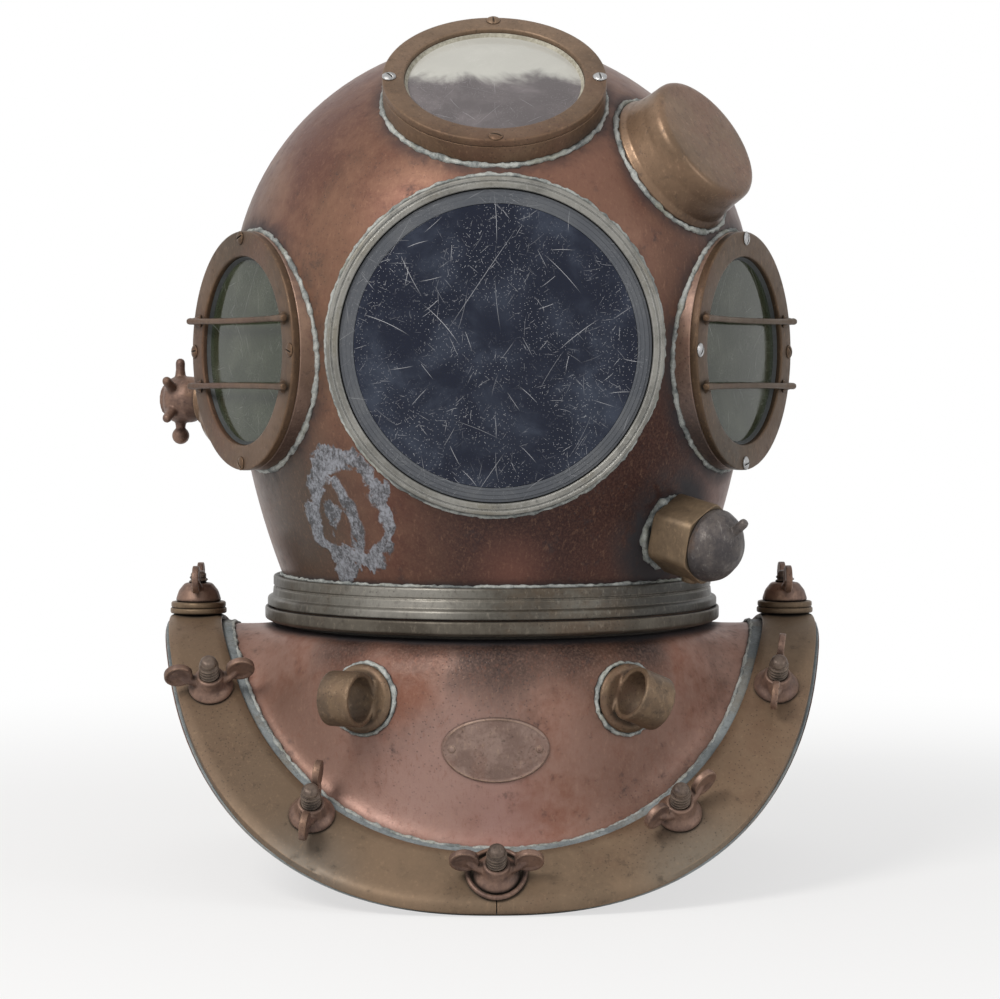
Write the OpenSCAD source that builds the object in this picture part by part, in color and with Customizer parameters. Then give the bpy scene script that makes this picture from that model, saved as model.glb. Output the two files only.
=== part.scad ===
// Standard diving helmet with twelve studs and four windows.
// The origin is the middle of the neck joint, where the bonnet meets the breastplate.
// +Z is up, the face port looks along -Y, and +X is on the right of someone facing it.
// Turns round the neck are counted from the front towards +X.

/* [Bonnet shell] */
// Radius of the spun dome at its widest line
dome_r = 155.5; // [150:0.5:162]
// Height of the widest line over the neck joint
dome_z = 181; // [174:1:188]
// Copper wall of the bonnet
dome_wall = 2; // [1.4:0.2:2.6]

/* [Neck joint] */
// Outer radius of the breastplate's neck ring
neck_r = 136; // [134:0.5:140]
// How far the opening for the head lies inside the neck ring's outer radius
neck_step = 22; // [21:0.5:28]
// Width of the breastplate's neck ring
ring_wall = 14.2; // [13.4:0.1:14.6]
// How far the neck under that ring lies inside its outer radius
neck_cove = 11; // [10:0.1:11.5]
// Height of the breastplate's neck ring under the joint
ring_depth = 11; // [10:0.5:13]
// Height of the bonnet's ring over the joint
bonnet_ring_h = 18; // [16:0.5:20]
// How far the bonnet's ring lies inside the neck ring's outer radius
bonnet_ring_step = 5; // [3.5:0.5:6]
// How far the lip at its foot lies inside the neck ring's outer radius
lip_step = 1.5; // [0.5:0.5:3]
// Wall of the bonnet's ring round the foot of the dome, solder and all
socket_wall = 5.6634; // [5:0.0001:7]
// Depth of the bonnet's spigot in the breastplate's ring
spigot_depth = 15; // [14.6:0.1:16]
// Open line that shows between the two rings
joint_line = 0.9; // [0.6:0.1:1.4]
// Thickness of the leather neck washer
washer_t = 2.2; // [1.6:0.1:3]
// Number of thread lugs on each ring
lug_count = 4; // [3:1:5]
// Height of one thread lug
lug_h = 4.5; // [3.5:0.1:5]

/* [Face port] */
// Outer radius of the face port's ring
face_port_r = 93.5; // [90:0.5:94]
// Distance of the face port's front from the neck axis
face_port_out = 145; // [143.5:0.5:148]
// Height of the face port's centre over the neck joint
face_port_z = 153; // [150:0.5:154]
// Width of the face port's ring round its window
face_rim = 6.7; // [5.5:0.1:8]
// Width of the seat behind the window
face_seat = 8.2; // [6:0.1:12]
// Thickness of the face window
face_glass_t = 10; // [6:0.5:12]

/* [Screwed ports] */
// Outer radius of a side port's bezel
side_port_r = 69; // [66:0.5:70]
// Height of the side ports' centres over the neck joint
side_port_z = 151; // [148:0.5:154]
// Turn of a side port's outward direction from the front
side_port_turn = 61.3; // [60.5:0.1:64]
// Distance of a side port's face from the neck axis
side_port_out = 159; // [158:0.5:163]
// How far a side port's centre stands behind the line through the neck axis
side_port_back = 13.5; // [13:0.5:18]
// Width of a side bezel
side_bezel_w = 14.6; // [13:0.1:18]
// Outer radius of the top port's bezel
top_port_r = 63.5; // [58:0.5:64.5]
// Tilt of the top port's outward direction over the horizontal
top_port_tilt = 51.5; // [51.5:0.5:56]
// Distance of the top port's face from the dome's centre
top_port_out = 158.7; // [156:0.1:162]
// Width of the top bezel
top_bezel_w = 12.5; // [11.5:0.5:16]
// Thickness of the bezels
bezel_t = 4.5; // [3.5:0.5:6]
// Thickness of the side and top windows
glass_t = 8; // [5:0.5:9]
// Thickness of a window's gasket
gasket_t = 1.6; // [1:0.1:2.5]
// Wall of a port's body around its window
port_wall = 7.5; // [6.6:0.1:8]
// Radius of a bezel screw's head
screw_head_r = 4; // [3.2:0.1:4.4]
// Radius of a bezel screw's shank
screw_r = 2; // [1.5:0.1:2.4]
// Radius of a guard bar
bar_r = 1.8; // [1.4:0.1:2.4]
// Height of the upper guard bar over the port's centre
bar_up = 18; // [12:0.5:24]
// Depth of the lower guard bar under the port's centre
bar_down = 20.5; // [14:0.5:26]

/* [Fittings] */
// Turn of the telephone cup from the front
cup_turn = 51.5; // [49:0.5:52]
// Tilt of the telephone cup over the horizontal
cup_tilt = 30.3; // [29.5:0.1:34]
// Radius of the telephone cup at its foot
cup_r = 43; // [38:0.5:43.5]
// How much narrower the telephone cup is at its end
cup_taper = 4; // [3:0.5:8]
// Distance of the cup's end from the dome's centre
cup_out = 179; // [174:0.5:184]
// Turn of the spit cock from the front
cock_turn = 47; // [44:0.5:49]
// Tilt of the spit cock under the horizontal
cock_dip = 12; // [9:0.5:14]
// Height of the spit cock's foot over the neck joint
cock_z = 48; // [47:0.5:52]
// Half the distance across the flats of the cock's hexagon
cock_flat = 21; // [18:0.5:22]
// Length of the cock's hexagon outside the dome
cock_len = 31; // [26:0.5:34]
// Turn of the exhaust valve from the front, on the other side
exhaust_turn = 110; // [108:0.5:116]
// Height of the exhaust valve over the neck joint
exhaust_z = 122; // [118:0.5:126]
// Radius of the exhaust valve's body
exhaust_r = 30; // [27:0.5:32]
// Radius of the exhaust knob's hub
knob_r = 14.6; // [12:0.1:16]
// Reach of the knob's arms from its axis
knob_reach = 22.5; // [20:0.1:26]
// Turn of the air inlet from the front
inlet_turn = 162; // [158:0.5:166]
// Height of the air inlet over the neck joint
inlet_z = 118; // [110:0.5:128]
// Radius of the hose's male thread
hose_thread_r = 13; // [11:0.1:14]
// Bore of the air way
air_bore_r = 8; // [6:0.1:9]
// Turn of the telephone cable elbow from the front, on the other side
cable_turn = 162; // [156:0.5:168]
// Height of the telephone cable elbow over the neck joint
cable_z = 140; // [130:0.5:146]
// Bore of the telephone cable's gland
cable_bore_r = 5; // [3.5:0.1:6]
// Turn of the safety catch from the front
catch_turn = 140; // [136:0.5:146]

/* [Breastplate] */
// Half the width of the brails, shoulder to shoulder
brail_a = 192.5; // [190:0.5:196]
// Half the depth of the brails, front to back
brail_b = 178.5; // [176:0.5:184]
// How square the brails' outer line is, 2 being an ellipse
brail_square = 2.41; // [2.3:0.01:2.5]
// Half the width of the brails' inner line
brail_in_a = 161.7; // [160:0.1:163]
// Half the depth of the brails' inner line
brail_in_b = 153; // [151:0.5:155]
// How square the brails' inner line is, 2 being an ellipse
brail_in_square = 2.21; // [2.15:0.01:2.3]
// Thickness of a brail
brail_t = 4; // [3:0.1:6]
// Thickness of the stud band under the brails
band_t = 2; // [1.5:0.1:3]
// Width of the stud band that shows inside the brails
band_show = 6.5; // [5:0.5:8]
// Copper wall of the breastplate
shell_wall = 1.6; // [1.2:0.1:2.2]
// Radius over which the brails bend across the shoulders
shoulder_r = 90; // [84:1:98]
// Height of the shoulder line of the brails over the neck joint
shoulder_z = -5.6; // [-8:0.1:-5]
// Slope of the flange at the front and the back
flange_slope = 46; // [44:0.5:47]
// Turns of the studs from the front, to the shoulder
stud_turns = [0, 36.8, 65.6, 90];
// How far each of those studs stands inside the brail
stud_insets = [12, 10, 15.5, 14.5];
// Radius of a stud
stud_r = 5.75; // [5:0.05:6]
// Height of a stud over the brail
stud_h = 25.5; // [22:0.5:28]
// Radius of a wing nut's skirt
nut_r = 13.3; // [12:0.1:14.4]
// Height of a wing nut's domed body
nut_h = 11.5; // [9:0.5:13]
// Distance from a nut's axis to the middle of its wing
wing_out = 17.8; // [17:0.1:19]
// Height of a wing's middle over the nut's foot
wing_up = 14; // [12.8:0.1:15]
// Radius of a wing
wing_r = 8.2; // [7:0.1:9]
// Thickness of a wing
wing_t = 4; // [3:0.1:6]
// Radius of a shoulder joint plate
plate_r = 16.8; // [15:0.1:18]
// Thickness of a shoulder joint plate
plate_t = 3.4; // [2.5:0.1:4]
// Turn of an eyelet from the front
eyelet_turn = 31; // [28:0.5:33]
// Place of the eyelets down the chest, 0 at the neck and 1 at the flange
eyelet_down = 0.4; // [0.36:0.01:0.44]
// Outer radius of an eyelet's loop
eyelet_r = 15.5; // [13:0.1:16.5]
// Bore radius of an eyelet's loop
eyelet_bore_r = 12.5; // [10:0.1:12.8]
// Length of an eyelet's loop along its bore
eyelet_w = 20; // [14:0.5:22]
// Radius of an eyelet's foot
eyelet_foot_r = 19.5; // [17:0.5:21]
// Half the width of the oval name plate
tag_a = 30; // [24:0.5:34]
// Half the height of the oval name plate
tag_b = 18.5; // [15:0.5:20]
// Place of the name plate down the chest, 0 at the neck and 1 at the flange
tag_down = 0.545; // [0.5:0.005:0.58]

/* [Fits] */
// Radial clearance of a piece that turns on a pin
running = 0.06; // [0.04:0.01:0.09]
// Space left for solder round a piece that stands in a hole
solder_gap = 0.1; // [0.05:0.05:0.3]
// Space left under a piece that rests on another
seat_gap = 0.15; // [0.1:0.05:0.25]

/* [Hidden] */
$fn = 96;
SMALL_FN = 48;
EPS = 0.01;

// Radii round the neck, and of the ports, inwards from the outermost one
neck_bore_r = neck_r - neck_step;
ring_bore_r = neck_r - ring_wall;
neck_wall_r = neck_r - neck_cove;
bonnet_ring_r = neck_r - bonnet_ring_step;
lip_r = neck_r - lip_step;
face_glass_r = face_port_r - face_rim;
face_clear_r = face_glass_r - face_seat;
side_clear_r = side_port_r - side_bezel_w;
top_clear_r = top_port_r - top_bezel_w;
cup_end_r = cup_r - cup_taper;

// The flatter arc of the lower dome: it ends in the bonnet's ring, and its centre lies behind the axis
foot_r = bonnet_ring_r - socket_wall;
foot_drop = dome_z - bonnet_ring_h;
taper_back = (foot_drop * foot_drop + foot_r * foot_r - dome_r * dome_r) / (dome_r - foot_r) / 2;
taper_r = dome_r + taper_back;
function dome_at(z, inset = 0) = z >= dome_z
    ? sqrt(pow(dome_r - inset, 2) - pow(z - dome_z, 2))
    : sqrt(pow(taper_r - inset, 2) - pow(z - dome_z, 2)) - taper_back;

// Heights in the neck joint
joint_z = joint_line - 0.4;
ring_top = joint_z - joint_line;
washer_top = joint_z - seat_gap;
washer_bed = washer_top - washer_t;
lip_h = 4.5;
lip_slope = 1.5;
skirt_depth = 4;
skirt_z = bonnet_ring_h - skirt_depth;
skirt_shelf = 6;
spigot_top = 5;
thread_depth = 4.4;
spigot_r = ring_bore_r - thread_depth;
ring_flange_h = 7;
ring_cove = 1.5;
ring_slope = 3;
groove_out_r = neck_r - 3.6;
groove_in_r = ring_bore_r + 2.4;
lug_clear = 0.6;
lug_span = 360 / lug_count / 2 - 3;
bonnet_lug_z = -spigot_depth + 0.5;
lug_slack = 1;
ring_lug_z = bonnet_lug_z + lug_h + lug_slack;

// Layers of the flange, as radii of the arch that bends over the shoulders
arch_z = shoulder_z - shoulder_r;
brail_low = shoulder_r - brail_t;
band_top = brail_low - seat_gap;
band_low = band_top - band_t;
shell_top = band_low - seat_gap;
stud_foot = brail_t + seat_gap + band_t;
stud_tip = 2;
stud_clear = 0.6;
brail_seam = 0.08;
plate_step = 0.5;
wire_r = 1.5;
nut_skirt = 1.4;
nut_sink = 2;
eyelet_foot_h = 4;
eyelet_sink = 2.8;
eyelet_off = 0.4;
eyelet_bend = 22;

// Outlines seen from above: half width, half depth, squareness
brail_out = [brail_a, brail_b, brail_square];
brail_in = [brail_in_a, brail_in_b, brail_in_square];
band_out = [brail_a + 1.5, brail_b - 2, brail_square];
band_in = [brail_in_a - band_show, brail_in_b - band_show, brail_in_square];
shell_out = [brail_a + 2, brail_b - 3.5, brail_square];

function oval_r(o, t) =
    pow(pow(abs(sin(t)) / o[0], o[2]) + pow(abs(cos(t)) / o[1], o[2]), -1 / o[2]);
function plan_arc(o, t0, t1, steps) = [
    for (i = [0:steps])
        let (t = t0 + (t1 - t0) * i / steps, r = oval_r(o, t)) [r * sin(t), -r * cos(t)]
];
function reversed(list) = [for (i = [len(list) - 1:-1:0]) list[i]];
function arch_at(y, r) = abs(y) <= r * sin(flange_slope)
    ? arch_z + sqrt(r * r - y * y)
    : arch_z + r * cos(flange_slope) - (abs(y) - r * sin(flange_slope)) * tan(flange_slope);

// The twelve studs: turn and inset of each, from the front round by +X
station_turns = [
    stud_turns[0], stud_turns[1], stud_turns[2], stud_turns[3], 180 - stud_turns[2], 180 - stud_turns[1],
    180, 180 + stud_turns[1], 180 + stud_turns[2], 360 - stud_turns[3], 360 - stud_turns[2], 360 - stud_turns[1]
];
station_kinds = [0, 1, 2, 3, 2, 1, 0, 1, 2, 3, 2, 1];
SHOULDERS = [3, 9];
function station_r(k) = oval_r(brail_in, station_turns[k]) + stud_insets[station_kinds[k]];
function station_x(k) = station_r(k) * sin(station_turns[k]);
function station_y(k) = -station_r(k) * cos(station_turns[k]);
function station_lean(k) =
    let (y = station_y(k)) sign(y) * min(flange_slope, asin(min(1, abs(y) / shoulder_r)));
function is_shoulder(k) = k == SHOULDERS[0] || k == SHOULDERS[1];
// Wing directions, as turns of each nut round its stud
wing_turns = [0, 40, 80, 90, 10, 75, 0, 100, 5, 90, 8, 80];

// Chest profile in the plane that stands at a turn: neck, chest curve, flange
CHEST_STEPS = 9;
FLANGE_STEPS = 3;
SHELL_TURNS = 72;
neck_foot = [neck_wall_r, -ring_depth];
function flange_start(t) =
    let (r = oval_r(band_in, t) - 2) [r, arch_at(r * cos(t), shell_top)];
function flange_dir(t) =
    let (p = flange_start(t), d = [1, arch_at((p[0] + 1) * cos(t), shell_top) - p[1]]) d / norm(d);
function chest(t, s) =
    let (
        p0 = neck_foot,
        p3 = flange_start(t),
        reach = norm(p3 - p0),
        p1 = p0 + reach * [0.33, -0.06],
        p2 = p3 - reach * 0.2 * flange_dir(t),
        u = 1 - s
    ) u * u * u * p0 + 3 * u * u * s * p1 + 3 * u * s * s * p2 + s * s * s * p3;
function chest_out(t, s) =
    let (d = chest(t, s + 0.01) - chest(t, s - 0.01)) [-d[1], d[0]] / norm(d);
function chest_profile(t) = concat(
    [for (i = [0:CHEST_STEPS]) chest(t, i / CHEST_STEPS)],
    [
        for (i = [1:FLANGE_STEPS])
            let (
                r0 = flange_start(t)[0],
                r = r0 + (oval_r(shell_out, t) - r0) * i / FLANGE_STEPS
            ) [r, arch_at(r * cos(t), shell_top)]
    ]
);
function inner_point(list, i) = i == 0
    ? [list[0][0] - shell_wall, list[0][1]]
    : let (
        d = list[min(i + 1, len(list) - 1)] - list[i - 1],
        n = [d[1], -d[0]] / norm(d)
    ) list[i] + shell_wall * n;
function shell_loop(t) =
    let (p = chest_profile(t)) concat(p, reversed([for (i = [0:len(p) - 1]) inner_point(p, i)]));
function turned(p, t) = [p[0] * sin(t), -p[0] * cos(t), p[1]];

// Screwed ports, along their own outward axis
function glass_seat(out) = out - bezel_t - gasket_t - glass_t;
face_bed = face_port_out - 1 - face_glass_t - gasket_t;
side_lo = 127;
hole_turn = 37;
top_lo = 137;
face_lo = 118;
hole_start = 20;
hole_len = 60;
face_rim_t = 6;
port_ledge = 4;
port_step = 1;
SCREW_COUNT = 4;
screw_len = 9;
screw_dome = 1.55;
screw_sink = 1.1;
slot_w = 1;
slot_z = 1.1;
bar_lift = 3.4;
bar_foot_in = 5;
bar_foot_r = bar_r + 0.8;

// Telephone cup, along its own axis from the dome's centre
cup_foot = sqrt(dome_r * dome_r - cup_r * cup_r);
cup_round = 5;
cup_wall = 2.5;
cup_bead_h = 2;
cup_bead = 1.2;
cup_cove = 5;
cup_hole_in = 15;
receiver_r = cup_end_r - cup_wall - 6;
receiver_t = 14;
receiver_rim = 6;
receiver_lip = 4;
sound_hole_r = 2;
sound_ring_r = 12;
SOUND_HOLES = 6;

// Exhaust valve, along its own axis from the neck axis
exhaust_at = dome_at(exhaust_z);
exhaust_lo = exhaust_at - 12;
exhaust_hi = exhaust_at + 32;
exhaust_wall = 3;
exhaust_shoulder = 6;
exhaust_slope = 2;
collar_h = 6;
collar_r = knob_r + 0.6;
valve_seat = exhaust_at + 1.5;
seat_t = 4;
valve_r = exhaust_r - 11;
valve_t = 2.4;
valve_stem_r = 2.5;
valve_travel = 5;
stem_end = valve_seat + 13;
button_r = 10;
button_t = 3.4;
button_z = exhaust_lo - 13;
PASSAGES = 6;
passage_r = 3.6;
passage_ring_r = 9.5;
VENTS = 10;
vent_r = 3;
vent_z = exhaust_hi - 13;
spindle_r = 6;
spindle_foot_r = spindle_r + 2.5;
spindle_foot_t = 2;
spindle_lo = valve_seat + 20;
spindle_bore_r = valve_stem_r + 1;
spindle_bore_len = 13;
knob_mid = exhaust_at + 51.5;
knob_arm_z = knob_mid + 2;
knob_top = knob_mid + 14;
knob_barrel = 6;
KNOB_ARMS = 6;
knob_ball_r = 5.6;
knob_arm_r = 3.1;
spring_r = 5;
spring_wire = 0.6;
spring_coils = 5;

// Spit cock, along its own axis from its foot on the dome
cock_foot_r = dome_at(cock_z);
cock_cap_r = cock_flat;
cock_cap_low = 4;
cock_key_r = 8;
cock_root = 3.4;
cock_tail = 8;
key_lo = 12;
key_len = cock_len - 10;
way_r = 3.5;
side_way_r = 2.2;
side_way_z = cock_len - 10;
nozzle_r = 4.8;
nozzle_out = cock_flat + 3.5;
pin_r = 2.8;
pin_lean = 50;
pin_z = cock_len + 6;
pin_len = cock_cap_r + 3.5;

// Air inlet, along its own axis from the neck axis
elbow_in = 10;
elbow_step = 0.5;
elbow_lean = 12;
inlet_at = dome_at(inlet_z);
inlet_r = 16;
inlet_bend = inlet_at + 6;
inlet_bend_r = 20;
inlet_drop = 18;
inlet_flange_r = inlet_r + 4;
inlet_flange_t = 6;
union_len = 30;
union_r = 17;
union_hex_r = union_r + 3;
union_hex_h = 9;
chamber_r = 12.5;
chamber_lo = 3;
seat_wall = 5;
flap_r = 9.5;
flap_t = 1.4;
flap_cut = 1.6;
flap_pin_r = 1;
flap_eye_r = flap_pin_r + 0.9;
flap_off = 9.6;
flap_w = 6;
flap_post = 2;
flap_post_out = 4.4;
thread_len = 18;

// Telephone cable elbow and gland, along the elbow's axis from the neck axis
cable_at = dome_at(cable_z);
cable_r = 11;
cable_bend = cable_at + 4;
cable_bend_r = 14;
cable_drop = 8;
gland_r = 14;
gland_len = 15;
gland_end = 5;
gland_step = 3;

// Safety catch
catch_z = 12;
catch_out = neck_r + 3.6;
catch_pin_r = 2;
catch_w = 7;
catch_len = 24;
catch_half = 2.4;
catch_eye_r = 4.2;
catch_rest = 55;
catch_lug_w = 6;
catch_slack = 0.5;
cheek_gap = 0.25;
cheek_t = 3.5;
cheek_lo = 4.4;
cheek_hi = 5;
cheek_front = 4.5;
cheek_back = 6.5;

// Air ducts inside the dome: two round its sides and one over its crown, as turns
duct_w = 26;
duct_t = 6;
duct_wall = 1;
duct_gap = 0.6;
duct_lift = 5;
duct_spans = [[105, 153], [173, 251]];
crown_duct = [10, 76];

// Local frames: +Z points outwards, +Y up the surface, +X along the horizontal
module aim(turn, tilt = 0) {
    rotate([0, 0, turn]) rotate([90 - tilt, 0, 0]) children();
}
module at_height(z) {
    translate([0, 0, z]) children();
}
// A side port's frame; side is 1 on +X and -1 on -X
module side_port(side) {
    at_height(side_port_z) aim(side * side_port_turn) translate([side * side_port_back, 0, 0]) children();
}
module top_port() {
    at_height(dome_z) aim(0, top_port_tilt) children();
}
module face_port() {
    at_height(face_port_z) aim(0) children();
}
module cup_place() {
    at_height(dome_z) aim(cup_turn, cup_tilt) children();
}
module exhaust_place() {
    at_height(exhaust_z) aim(-exhaust_turn) children();
}
module cock_place() {
    at_height(cock_z) rotate([0, 0, cock_turn]) translate([0, -cock_foot_r, 0]) rotate([90 + cock_dip, 0, 0]) children();
}
module inlet_place() {
    at_height(inlet_z) aim(inlet_turn) children();
}
module inlet_down() {
    inlet_place() past_bend(inlet_bend, inlet_bend_r) children();
}
module cable_place() {
    at_height(cable_z) aim(-cable_turn) children();
}
module cable_down() {
    cable_place() past_bend(cable_bend, cable_bend_r) children();
}
// The frame at the end of an elbow that bends down from height z
module past_bend(z, r_bend) {
    a = 90 - elbow_lean;
    translate([0, -r_bend * (1 - cos(a)), z + r_bend * sin(a)]) rotate([a, 0, 0]) children();
}
// A pipe that runs out from z0 to the bend at z, and on down, with a thin step at each end of the bend
module elbow_pipe(r, z0, z, r_bend, drop) {
    translate([0, 0, z0]) cylinder(r = r + elbow_step, h = z - z0 + elbow_step);
    translate([0, -r_bend, z]) rotate([90, 0, 90]) rotate_extrude(angle = 90 - elbow_lean)
        translate([r_bend, 0]) circle(r = r);
    past_bend(z, r_bend) translate([0, 0, -elbow_step]) cylinder(r = r + elbow_step, h = drop + elbow_step);
}
// A stud's frame, on the top face of the brail
module at_station(k) {
    translate([station_x(k), station_y(k), arch_at(station_y(k), shoulder_r)])
        rotate([-station_lean(k), 0, 0]) children();
}
// A frame on the chest, off millimetres out of its surface
module on_chest(t, s, off = 0) {
    p = chest(t, s) + off * chest_out(t, s);
    n = chest_out(t, s);
    translate(turned(p, t)) aim(t, atan2(n[1], n[0])) children();
}
module ring(r_out, r_in, z0, z1) {
    translate([0, 0, z0]) difference() {
        cylinder(r = r_out, h = z1 - z0);
        translate([0, 0, -1]) cylinder(r = r_in, h = z1 - z0 + 2);
    }
}

// Cut for a piece of radius r that is soldered into the dome
module port_hole(r, z) {
    translate([0, 0, z - hole_start]) cylinder(r = r + solder_gap, h = hole_len);
}

// Half section of the dome, inset from its outer face
module dome_half(inset, z0) {
    intersection() {
        translate([0, dome_z]) circle(r = dome_r - inset, $fn = 120);
        translate([0, dome_z]) square([dome_r + 1, dome_r + 1]);
    }
    intersection() {
        translate([-taper_back, dome_z]) circle(r = taper_r - inset, $fn = 360);
        translate([0, z0]) square([dome_r + 1, dome_z - z0 + EPS]);
    }
}
module bonnet_shell() color("#8a5038") difference() {
    rotate_extrude() difference() {
        dome_half(0, skirt_z);
        dome_half(dome_wall, skirt_z - 1);
    }
    face_port() port_hole(face_port_r, face_lo);
    top_port() port_hole(top_port_r - port_step, top_lo);
    for (side = [-1, 1])
        side_port(side) rotate([0, 0, hole_turn]) port_hole(side_port_r - port_step, side_lo);
    cup_place() port_hole(cup_r - cup_hole_in, dome_r);
    exhaust_place() port_hole(exhaust_r, exhaust_lo);
    cock_place() port_hole(cock_key_r, 0);
    inlet_place() port_hole(inlet_r + elbow_step, inlet_at);
    cable_place() port_hole(cable_r + elbow_step, cable_at);
}
module bonnet_ring() color("#7a6650") {
    socket = dome_at(bonnet_ring_h) + solder_gap;
    rotate_extrude() polygon([
        [neck_bore_r, -spigot_depth], [spigot_r, -spigot_depth], [spigot_r, joint_z], [lip_r, joint_z],
        [lip_r, joint_z + lip_h], [bonnet_ring_r, joint_z + lip_h + lip_slope], [bonnet_ring_r, bonnet_ring_h],
        [socket, bonnet_ring_h], [socket, skirt_z], [socket - skirt_shelf, skirt_z], [neck_bore_r, spigot_top]
    ]);
    for (k = [0:lug_count - 1])
        rotate([0, 0, k * 360 / lug_count - lug_span / 2]) rotate_extrude(angle = lug_span)
            translate([spigot_r - 1, bonnet_lug_z]) square([ring_bore_r - spigot_r + 1 - lug_clear, lug_h]);
}

// Face port
module front_port_body() color("#8d8a80") face_port() rotate_extrude() polygon([
    [face_clear_r, face_lo], [face_port_r, face_lo], [face_port_r, face_port_out - face_rim_t - seat_gap],
    [face_glass_r + seat_gap, face_port_out - face_rim_t - seat_gap],
    [face_glass_r + seat_gap, face_bed - seat_gap],
    [face_clear_r, face_bed - seat_gap]
]);
module front_port_ring() color("#a39f92") face_port()
    ring(face_port_r, face_glass_r + seat_gap, face_port_out - face_rim_t, face_port_out);
module front_glass() color("#2b3344") face_port() translate([0, 0, face_bed + gasket_t])
    cylinder(r = face_glass_r, h = face_glass_t);

// Screwed ports, drawn along their own axis with the face at out
module port_body(r, r_clear, out, lo) {
    seat = glass_seat(out);
    top = out - bezel_t - seat_gap;
    difference() {
        rotate_extrude() polygon([
            [r_clear - port_ledge, lo], [r - port_step, lo], [r - port_step, top], [r - port_wall, top],
            [r - port_wall, seat - seat_gap], [r_clear - port_ledge, seat - seat_gap]
        ]);
        port_screws(r, out) translate([0, 0, -screw_len - 1])
            cylinder(r = screw_r + running, h = screw_len + 2, $fn = SMALL_FN);
    }
}
module port_screws(r, out) {
    for (k = [0:SCREW_COUNT - 1])
        rotate([0, 0, 90 * k]) translate([r - screw_head_r, 0, out]) children();
}
module port_glass(r, out) {
    translate([0, 0, glass_seat(out) + gasket_t]) cylinder(r = r - port_wall - seat_gap, h = glass_t - seat_gap);
}
module port_gasket(r, r_in, z) {
    ring(r, r_in, z, z + gasket_t - seat_gap);
}
module port_bezel(r, r_clear, out) {
    difference() {
        ring(r, r_clear, out - bezel_t, out);
        port_screws(r, out) translate([0, 0, -bezel_t - 1])
            cylinder(r = screw_r + running, h = bezel_t + 2, $fn = SMALL_FN);
    }
}
module port_screw_set(r, out) {
    port_screws(r, out) {
        translate([0, 0, -screw_len]) cylinder(r = screw_r, h = screw_len + EPS, $fn = SMALL_FN);
        difference() {
            translate([0, 0, seat_gap]) intersection() {
                translate([0, 0, -screw_head_r * screw_sink]) sphere(r = screw_head_r * screw_dome, $fn = SMALL_FN);
                cylinder(r = screw_head_r, h = screw_head_r, $fn = SMALL_FN);
            }
            translate([-slot_w / 2, -screw_head_r, slot_z]) cube([slot_w, 2 * screw_head_r, screw_head_r]);
        }
        cylinder(r = screw_r, h = 1, $fn = SMALL_FN);
    }
}
module top_port_body() color("#7b5f48") top_port() port_body(top_port_r, top_clear_r, top_port_out, top_lo);
module top_glass() color("#5b6470") top_port() port_glass(top_port_r, top_port_out);
module top_bezel() color("#86694a") top_port() port_bezel(top_port_r, top_clear_r, top_port_out);
module left_port_body() color("#7b5f48") side_port(-1)
    port_body(side_port_r, side_clear_r, side_port_out, side_lo);
module left_glass() color("#6d7a68") side_port(-1) port_glass(side_port_r, side_port_out);
module left_bezel() color("#86694a") side_port(-1) port_bezel(side_port_r, side_clear_r, side_port_out);
module right_port_body() color("#7b5f48") side_port(1)
    port_body(side_port_r, side_clear_r, side_port_out, side_lo);
module right_glass() color("#6d7a68") side_port(1) port_glass(side_port_r, side_port_out);
module right_bezel() color("#86694a") side_port(1) port_bezel(side_port_r, side_clear_r, side_port_out);
module glass_gaskets() color("#b9b19c") {
    face_port() port_gasket(face_glass_r, face_clear_r + port_step, face_bed);
    top_port()
        port_gasket(top_port_r - port_wall - seat_gap, top_clear_r - port_ledge + port_step, glass_seat(top_port_out));
    for (side = [-1, 1])
        side_port(side)
            port_gasket(side_port_r - port_wall - seat_gap, side_clear_r - port_ledge + port_step, glass_seat(side_port_out));
}
module bezel_screws() color("#a08a68") {
    top_port() port_screw_set(top_port_r, top_port_out);
    for (side = [-1, 1]) side_port(side) port_screw_set(side_port_r, side_port_out);
}
module guard_bars() color("#7d6a50") for (side = [-1, 1]) side_port(side)
    for (h = [bar_up, -bar_down]) {
        half = sqrt(pow(side_port_r - port_step, 2) - h * h);
        translate([-half, h, side_port_out + bar_lift]) rotate([0, 90, 0]) cylinder(r = bar_r, h = 2 * half, $fn = SMALL_FN);
        for (e = [-1, 1])
            translate([e * (half - bar_foot_in), h, side_port_out + seat_gap])
                cylinder(r = bar_foot_r, h = bar_lift, $fn = SMALL_FN);
    }

// Telephone cup and its receiver, along the cup's axis
module phone_cup() color("#80694c") cup_place() rotate_extrude() difference() {
    union() {
        polygon([
            [0, cup_foot + cup_cove], [cup_r - cup_wall, cup_foot + 1], [cup_r, cup_foot + seat_gap],
            [cup_r, cup_foot + cup_bead_h], [cup_end_r + cup_bead, cup_foot + cup_cove],
            [cup_end_r, cup_out - cup_round], [0, cup_out - cup_round]
        ]);
        translate([0, cup_out - cup_round - 1]) square([cup_end_r - cup_round, cup_round + 1]);
        intersection() {
            translate([cup_end_r - cup_round, cup_out - cup_round]) circle(r = cup_round);
            translate([0, cup_out - cup_round - EPS]) square([cup_end_r + 1, cup_round + 1]);
        }
    }
    polygon([
        [-1, cup_foot], [cup_r - cup_wall, cup_foot - 1], [cup_r - cup_wall, cup_foot + cup_bead],
        [cup_end_r - cup_wall, cup_foot + cup_cove], [cup_end_r - cup_wall, cup_out - cup_round - 1],
        [cup_end_r - cup_wall - cup_round + 1, cup_out - cup_wall], [-1, cup_out - cup_wall]
    ]);
}
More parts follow.
